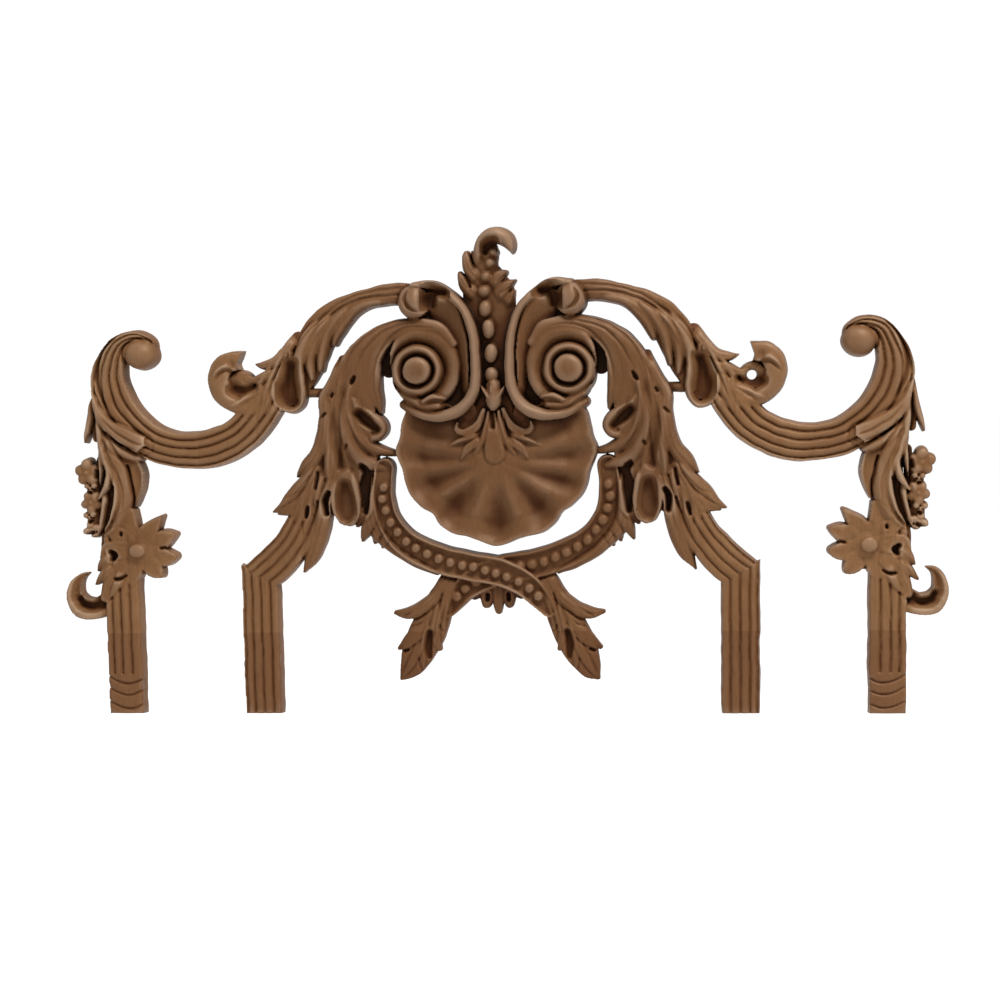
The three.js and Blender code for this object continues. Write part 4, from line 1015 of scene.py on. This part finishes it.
def merge(whole, side, hand):
    """Lays one half on the whole sheet, turned over for the left hand."""
    columns = side.height.shape[1]
    first = int(round((side.low[0] - whole.low[0]) / PITCH))
    if hand == 1:
        window = (slice(None), slice(first, first + columns))
        whole.height[window] = np.maximum(whole.height[window], side.height)
    else:
        last = whole.height.shape[1] - first
        window = (slice(None), slice(last - columns, last))
        whole.height[window] = np.maximum(whole.height[window], side.height[:, ::-1])


def level_feet(sheet):
    """Cuts the legs square at the feet."""
    sheet.height = np.minimum(sheet.height, STEEPNESS * (sheet.plain_z - FOOT))


def blurred(values, radius):
    """The sheet's values after two running means along each axis."""
    reach = max(int(round(radius / PITCH)), 1)
    kernel = np.ones(2 * reach + 1) / (2 * reach + 1)
    result = values
    for _ in range(2):
        for axis in (0, 1):
            padded = np.pad(result, [(reach, reach) if k == axis else (0, 0) for k in (0, 1)], mode="edge")
            total = np.cumsum(np.insert(padded, 0, 0, axis=axis), axis=axis)
            upper = np.take(total, np.arange(len(kernel), total.shape[axis]), axis=axis)
            lower = np.take(total, np.arange(0, total.shape[axis] - len(kernel)), axis=axis)
            result = (upper - lower) / len(kernel)
    return result


def wood_around(sheet, radius):
    """The mean height of the wood round each point."""
    inside = (sheet.height > 0).astype(float)
    return blurred(np.maximum(sheet.height, 0), radius) / np.maximum(blurred(inside, radius), 0.05)


def away_from_rim(sheet, radius):
    """From 0 at the outline to 1 inside it."""
    inside = (sheet.height > 0).astype(float)
    return np.clip(blurred(inside, radius) * 2.2 - 1.2, 0, 1)


def tool_marks(sheet):
    """Eases the small creases, as wax and handling do, and adds the gouge's shallow facets."""
    height = sheet.height
    change = wood_around(sheet, CREASE_WIDTH) - height
    eased = height + change * np.exp(-(change / CREASE_CHANGE) ** 2)
    marks = hand_wobble(sheet.plain_x, sheet.plain_z, seed=71, reach=0.16, waves=14)
    fine = hand_wobble(sheet.plain_x * 3.1, sheet.plain_z * 2.3, seed=72, reach=0.09, waves=14)
    return np.where(height > 2, eased + marks + fine, height)


def relief_mesh(sheet, name):
    """One closed mesh: the sheet's front, ended where it meets the back, and the flat back behind it."""
    flat = sheet.height.ravel()
    triangles = sheet_triangles(sheet.height)
    up = flat[triangles] > 0
    count = up.sum(1)
    lone_up = lone_corner_first(triangles[count == 1], up[count == 1])
    lone_down = lone_corner_first(triangles[count == 2], ~up[count == 2])
    crossings = np.vstack([
        lone_up[:, [0, 1]], lone_up[:, [0, 2]], lone_down[:, [1, 0]], lone_down[:, [2, 0]],
    ])
    edges, rim_of = np.unique(crossings, axis=0, return_inverse=True)
    share = flat[edges[:, 0]] / (flat[edges[:, 0]] - flat[edges[:, 1]])
    share = np.clip(share, LEAST_SHARE_OF_A_SIDE, 1 - LEAST_SHARE_OF_A_SIDE)

    def with_rim(values):
        start, end = values.ravel()[edges].T
        return np.concatenate([values.ravel(), start + share * (end - start)])

    x = with_rim(sheet.plain_x) * SQUARE
    z = with_rim(sheet.plain_z) * SQUARE
    y = -np.concatenate([flat, np.zeros(len(edges))]) * MILLIMETRE
    rim = rim_of.ravel() + len(flat)
    up_near, up_far, down_near, down_far = np.split(
        rim, np.cumsum([len(lone_up), len(lone_up), len(lone_down)]))
    front = np.vstack([
        triangles[count == 3],
        np.stack([lone_up[:, 0], up_near, up_far], 1),
        np.stack([down_near, lone_down[:, 1], lone_down[:, 2]], 1),
        np.stack([down_near, lone_down[:, 2], down_far], 1),
    ])
    behind = np.where(np.arange(len(x)) < len(flat), np.arange(len(x)) + len(x), np.arange(len(x)))
    faces = np.vstack([front, behind[front][:, ::-1]])
    points = np.stack([np.tile(x, 2), np.concatenate([y, np.zeros(len(x))]), np.tile(z, 2)], 1)
    used, faces = np.unique(faces, return_inverse=True)
    return mesh_of(name, points[used], faces.reshape(-1, 3))


def sheet_triangles(height):
    """Two triangles for each square of the sheet, split along its flatter diagonal."""
    number = np.arange(height.size).reshape(height.shape)
    a, b = number[:-1, :-1].ravel(), number[:-1, 1:].ravel()
    d, c = number[1:, :-1].ravel(), number[1:, 1:].ravel()
    flat = height.ravel()
    along = (np.abs(flat[a] - flat[c]) <= np.abs(flat[b] - flat[d]))[:, None]
    first = np.where(along, np.stack([a, b, c], 1), np.stack([a, b, d], 1))
    second = np.where(along, np.stack([a, c, d], 1), np.stack([b, c, d], 1))
    return np.vstack([first, second])


def lone_corner_first(triangles, picked):
    """Each triangle turned so that its one picked corner comes first."""
    order = (np.argmax(picked, axis=1)[:, None] + np.arange(3)) % 3
    return np.take_along_axis(triangles, order, axis=1)


def mesh_of(name, points, faces):
    mesh = bpy.data.meshes.new(name)
    mesh.vertices.add(len(points))
    mesh.vertices.foreach_set("co", points.astype(np.float32).ravel())
    mesh.loops.add(len(faces) * 3)
    mesh.loops.foreach_set("vertex_index", faces.astype(np.int32).ravel())
    mesh.polygons.add(len(faces))
    mesh.polygons.foreach_set("loop_start", np.arange(0, len(faces) * 3, 3, dtype=np.int32))
    mesh.update(calc_edges=True)
    piece = bpy.data.objects.new(name, mesh)
    bpy.context.scene.collection.objects.link(piece)
    return piece


def only(piece):
    """Makes one object the only selected one."""
    bpy.ops.object.select_all(action="DESELECT")
    piece.select_set(True)
    bpy.context.view_layer.objects.active = piece


def finish_mesh(piece):
    """Thins the mesh where it is plain, keeps it within the CAD part's box and smooths its shading."""
    only(piece)
    thin = piece.modifiers.new("thin", "DECIMATE")
    thin.ratio = min(1.0, MOST_TRIANGLES / len(piece.data.polygons))
    bpy.ops.object.modifier_apply(modifier="thin")
    places = np.empty(len(piece.data.vertices) * 3, dtype=np.float32)
    piece.data.vertices.foreach_get("co", places)
    places = np.clip(places.reshape(-1, 3), np.array(node_low), np.array(node_high))
    piece.data.vertices.foreach_set("co", places.astype(np.float32).ravel())
    bpy.ops.object.shade_smooth_by_angle(angle=math.radians(SHARPEST_SMOOTHED_EDGE))


def hollows(sheet):
    """From 0 on the open surface to 1 deep in the hollows, and below 0 on raised edges. High values give
    dark stain with painted shade, values below 0 give wear with a painted highlight.
    """
    height = np.maximum(sheet.height, 0)
    narrow = np.clip((wood_around(sheet, 1.6) - height) / 8, -0.35, 0.6)
    broad = np.clip((wood_around(sheet, 4.5) - height) / 16, -0.3, 0.8)
    wide = np.clip((wood_around(sheet, 10) - height) / 34, -0.2, 0.4)
    # Low places count a little deeper, so they get more painted shade
    low = np.clip((17 - height) / 40, 0, 0.25)
    return (narrow + broad) * np.maximum(away_from_rim(sheet, 2), 0.1) + wide + low


def sampled(sheet, values, places):
    """The sheet's values at points of the piece."""
    column = (places[:, 0] / SQUARE - sheet.low[0]) / PITCH
    row = (places[:, 2] / SQUARE - sheet.low[1]) / PITCH
    rows, columns = values.shape
    left = np.clip(column.astype(int), 0, columns - 2)
    lower = np.clip(row.astype(int), 0, rows - 2)
    share_x = np.clip(column - left, 0, 1)
    share_z = np.clip(row - lower, 0, 1)
    below = values[lower, left] * (1 - share_x) + values[lower, left + 1] * share_x
    above = values[lower + 1, left] * (1 - share_x) + values[lower + 1, left + 1] * share_x
    return below * (1 - share_z) + above * share_z


def mark_hollows(piece, sheet):
    """Keeps the depth of the hollows as a value at its points, which sets the wood's stain with painted
    shade and its painted highlights. The back and the sawn rim have none.
    """
    vertices = piece.data.vertices
    places = np.empty(len(vertices) * 3, dtype=np.float32)
    vertices.foreach_get("co", places)
    places = places.reshape(-1, 3)
    normals = np.empty(len(vertices) * 3, dtype=np.float32)
    vertices.foreach_get("normal", normals)
    sideways = np.clip(1 - 1.6 * np.abs(normals.reshape(-1, 3)[:, 1]), 0, 1)
    rim = sideways * (1 - sampled(sheet, away_from_rim(sheet, 3), places))
    on_the_back = places[:, 1] > -BACK_SKIN * MILLIMETRE
    hollow = sampled(sheet, hollows(sheet), places) * (1 - rim)
    hollow = np.where(on_the_back, 0, hollow)
    attribute = piece.data.attributes.new("hollow", "FLOAT", "POINT")
    attribute.data.foreach_set("value", hollow.astype(np.float32))


# The wood: its colours, the level of its glue line in metres, and how fine its grain is

PLAIN_WOOD = (0.086, 0.038, 0.0145, 1)
WARMER_WOOD = (0.108, 0.052, 0.0215, 1)
DARK_FIBRE = (0.075, 0.031, 0.01, 1)
PORE = (0.045, 0.018, 0.006, 1)
BLOTCH = (0.08, 0.033, 0.011, 1)
# Colour of the raised edges: partly real wear, partly a painted highlight
WORN_EDGE_AND_HIGHLIGHT = (0.25, 0.175, 0.118, 1)
# Colours of the hollows: partly the real dark stain, partly painted shade
STAIN_AND_SHADE = (0.042, 0.0115, 0.0022, 1)
DEEP_STAIN_AND_SHADE = (0.0055, 0.001, 0.0003, 1)
DARKER_MIDDLE = (0.66, 0.6, 0.57, 1)
BELOW_THE_GLUE_LINE = (0.82, 0.76, 0.74, 1)
GLUE_LINE = -0.161
SOFT_GLUE_LINE = 0.0004
BROAD_GRAIN = 14
FIBRES = 520
PORES = 1500
BLOTCHES = 55


class Nodes:
    """Adds nodes to a material and joins them."""

    def __init__(self, name):
        self.material = bpy.data.materials.new(name)
        self.material.use_nodes = True
        self.tree = self.material.node_tree
        self.tree.nodes.clear()

    def add(self, kind, settings=None, **inputs):
        node = self.tree.nodes.new(kind)
        for key, value in (settings or {}).items():
            setattr(node, key, value)
        for key, value in inputs.items():
            socket = node.inputs[int(key[1:])] if key[1:].isdigit() else node.inputs[key.replace("_", " ")]
            if isinstance(value, bpy.types.NodeSocket):
                self.tree.links.new(value, socket)
            else:
                socket.default_value = value
        return node

    def math(self, operation, first, second=0.0, clamp=False):
        node = self.add("ShaderNodeMath", {"operation": operation, "use_clamp": clamp}, _0=first, _1=second)
        return node.outputs[0]

    def between(self, value, low, high, at_low=0.0, at_high=1.0):
        """Carries a value smoothly from one pair of limits to another."""
        node = self.add(
            "ShaderNodeMapRange", {"interpolation_type": "SMOOTHSTEP"},
            Value=value, From_Min=low, From_Max=high, To_Min=at_low, To_Max=at_high,
        )
        return node.outputs["Result"]

    def mixed(self, share, first, second, blend="MIX"):
        """Mixes two colours."""
        settings = {"data_type": "RGBA", "blend_type": blend}
        node = self.add("ShaderNodeMix", settings, _0=share, _6=first, _7=second)
        return node.outputs[2]

    def noise(self, vector, stretch, scale, detail=3.0):
        mapped = self.add("ShaderNodeMapping", Vector=vector, Scale=stretch)
        node = self.add(
            "ShaderNodeTexNoise", Vector=mapped.outputs["Vector"],
            Scale=scale, Detail=detail, Roughness=0.55,
        )
        return node.outputs["Fac"]


def wood_material():
    """Waxed brown hardwood: grain that runs up the board, dark stain with painted shade in the hollows,
    worn edges with a painted highlight.
    """
    nodes = Nodes("waxed_wood")
    place = nodes.add("ShaderNodeTexCoord").outputs["Object"]
    hollow = nodes.add("ShaderNodeAttribute", {"attribute_name": "hollow"}).outputs["Fac"]
    height = nodes.add("ShaderNodeSeparateXYZ", Vector=place).outputs["Z"]

    broad = nodes.noise(place, (1, 1, 0.35), BROAD_GRAIN, 2)
    fibre = nodes.noise(place, (1, 1, 0.05), FIBRES, 4)
    pores = nodes.noise(place, (1, 1, 0.08), PORES, 2)
    blotches = nodes.noise(place, (1, 1, 1), BLOTCHES, 4)

    wood = nodes.mixed(nodes.between(broad, 0.3, 0.7), PLAIN_WOOD, WARMER_WOOD)
    wood = nodes.mixed(nodes.between(fibre, 0.45, 0.75, 0, 0.6), wood, DARK_FIBRE)
    wood = nodes.mixed(nodes.between(pores, 0.58, 0.75, 0, 0.65), wood, PORE)
    wood = nodes.mixed(nodes.between(blotches, 0.5, 0.75, 0, 0.4), wood, BLOTCH)
    # Raised edges lighter and greyer: real wear together with a painted highlight
    wear_and_highlight = nodes.between(hollow, -0.05, -0.55, 0, 0.55)
    wood = nodes.mixed(wear_and_highlight, wood, WORN_EDGE_AND_HIGHLIGHT)

    # Hollows and low places darkened: real stain together with painted shade
    stain_and_shade = nodes.math("ADD", hollow, nodes.between(blotches, 0.3, 0.7, -0.05, 0.05))
    wood = nodes.mixed(nodes.between(stain_and_shade, 0.0, 0.5), wood, STAIN_AND_SHADE)
    wood = nodes.mixed(nodes.between(stain_and_shade, 0.4, 0.95, 0, 0.85), wood, DEEP_STAIN_AND_SHADE)

    # Darker towards the middle of the carving
    distance = nodes.add("ShaderNodeVectorMath", {"operation": "DISTANCE"}, _0=place, _1=(0, 0, 0.04))
    from_middle = distance.outputs["Value"]
    darker_towards_middle = nodes.between(from_middle, 0.15, 0.27, 0.9, 0)
    wood = nodes.mixed(darker_towards_middle, wood, DARKER_MIDDLE, "MULTIPLY")

    joint = nodes.between(height, GLUE_LINE + SOFT_GLUE_LINE, GLUE_LINE - SOFT_GLUE_LINE, 0, 1)
    wood = nodes.mixed(joint, wood, BELOW_THE_GLUE_LINE, "MULTIPLY")

    relief = nodes.math("ADD", nodes.math("MULTIPLY", fibre, 0.5), nodes.math("MULTIPLY", blotches, 0.8))
    bump = nodes.add("ShaderNodeBump", Strength=0.35, Distance=0.0006, Height=relief)
    shine = nodes.between(hollow, -0.1, 0.5, 0.48, 0.75)
    shader = nodes.add(
        "ShaderNodeBsdfPrincipled", Base_Color=wood, Roughness=shine, Normal=bump.outputs["Normal"],
    )
    shader.inputs["Specular IOR Level"].default_value = 0.2
    shader.inputs["Specular Tint"].default_value = (1, 0.72, 0.5, 1)
    nodes.add("ShaderNodeOutputMaterial", Surface=shader.outputs["BSDF"])
    return nodes.material


def plain_material(name, colour):
    nodes = Nodes(name)
    shader = nodes.add("ShaderNodeBsdfPrincipled", Base_Color=colour, Roughness=0.9)
    shader.inputs["Specular IOR Level"].default_value = 0.1
    nodes.add("ShaderNodeOutputMaterial", Surface=shader.outputs["BSDF"])
    return nodes.material


# The studio

def make_floor():
    bpy.ops.mesh.primitive_plane_add(size=FLOOR_SIZE, location=(0, 0, FLOOR_LEVEL))
    floor = bpy.context.object
    floor.name = "floor"
    floor.data.materials.append(plain_material("pale_floor", (0.98, 0.98, 0.98, 1)))


def make_camera():
    """The photograph's camera, which stands a little to the right of the middle and a little above it."""
    turn, tilt, roll = (math.radians(angle) for angle in (CAMERA_TURN, CAMERA_TILT, CAMERA_ROLL))
    backwards = mathutils.Vector((
        math.sin(turn) * math.cos(tilt), -math.cos(turn) * math.cos(tilt), math.sin(tilt),
    ))
    level = mathutils.Vector((math.cos(turn), math.sin(turn), 0))
    upright = backwards.cross(level)
    right = level * math.cos(roll) - upright * math.sin(roll)
    up = level * math.sin(roll) + upright * math.cos(roll)
    camera = bpy.data.objects.new("camera", bpy.data.cameras.new("camera"))
    bpy.context.scene.collection.objects.link(camera)
    axes = mathutils.Matrix((right, up, backwards)).transposed().to_4x4()
    camera.matrix_world = mathutils.Matrix.Translation(CAMERA_AIM + backwards * CAMERA_DISTANCE) @ axes
    camera.data.lens = CAMERA_LENS
    camera.data.shift_x = CAMERA_SHIFT_X
    camera.data.shift_y = CAMERA_SHIFT_Y
    bpy.context.scene.camera = camera


def area_light(name, place, size, power, aim=(0, 0, 0)):
    light = bpy.data.objects.new(name, bpy.data.lights.new(name, "AREA"))
    bpy.context.scene.collection.objects.link(light)
    light.data.size = size
    light.data.energy = power
    light.location = place
    direction = mathutils.Vector(aim) - light.location
    light.rotation_euler = direction.to_track_quat("-Z", "Y").to_euler()


def make_lights():
    area_light("window_light", place=(1.0, -1.25, 2.3), size=0.9, power=135)
    area_light("fill_light", place=(-1.8, -2.4, 0.9), size=1.8, power=12)
    world = bpy.data.worlds.new("soft_white_room")
    world.use_nodes = True
    background = world.node_tree.nodes["Background"]
    background.inputs["Color"].default_value = (1, 1, 1, 1)
    background.inputs["Strength"].default_value = 1.02
    bpy.context.scene.world = world
    bpy.context.scene.view_settings.view_transform = "Standard"


piece_sheet = carve()
piece_sheet.height = tool_marks(piece_sheet)
carving = relief_mesh(piece_sheet, "carved_wood")
finish_mesh(carving)
mark_hollows(carving, piece_sheet)
carving.data.materials.append(wood_material())

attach(carving, "root")
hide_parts(NODE)
make_floor()
make_lights()
make_camera()
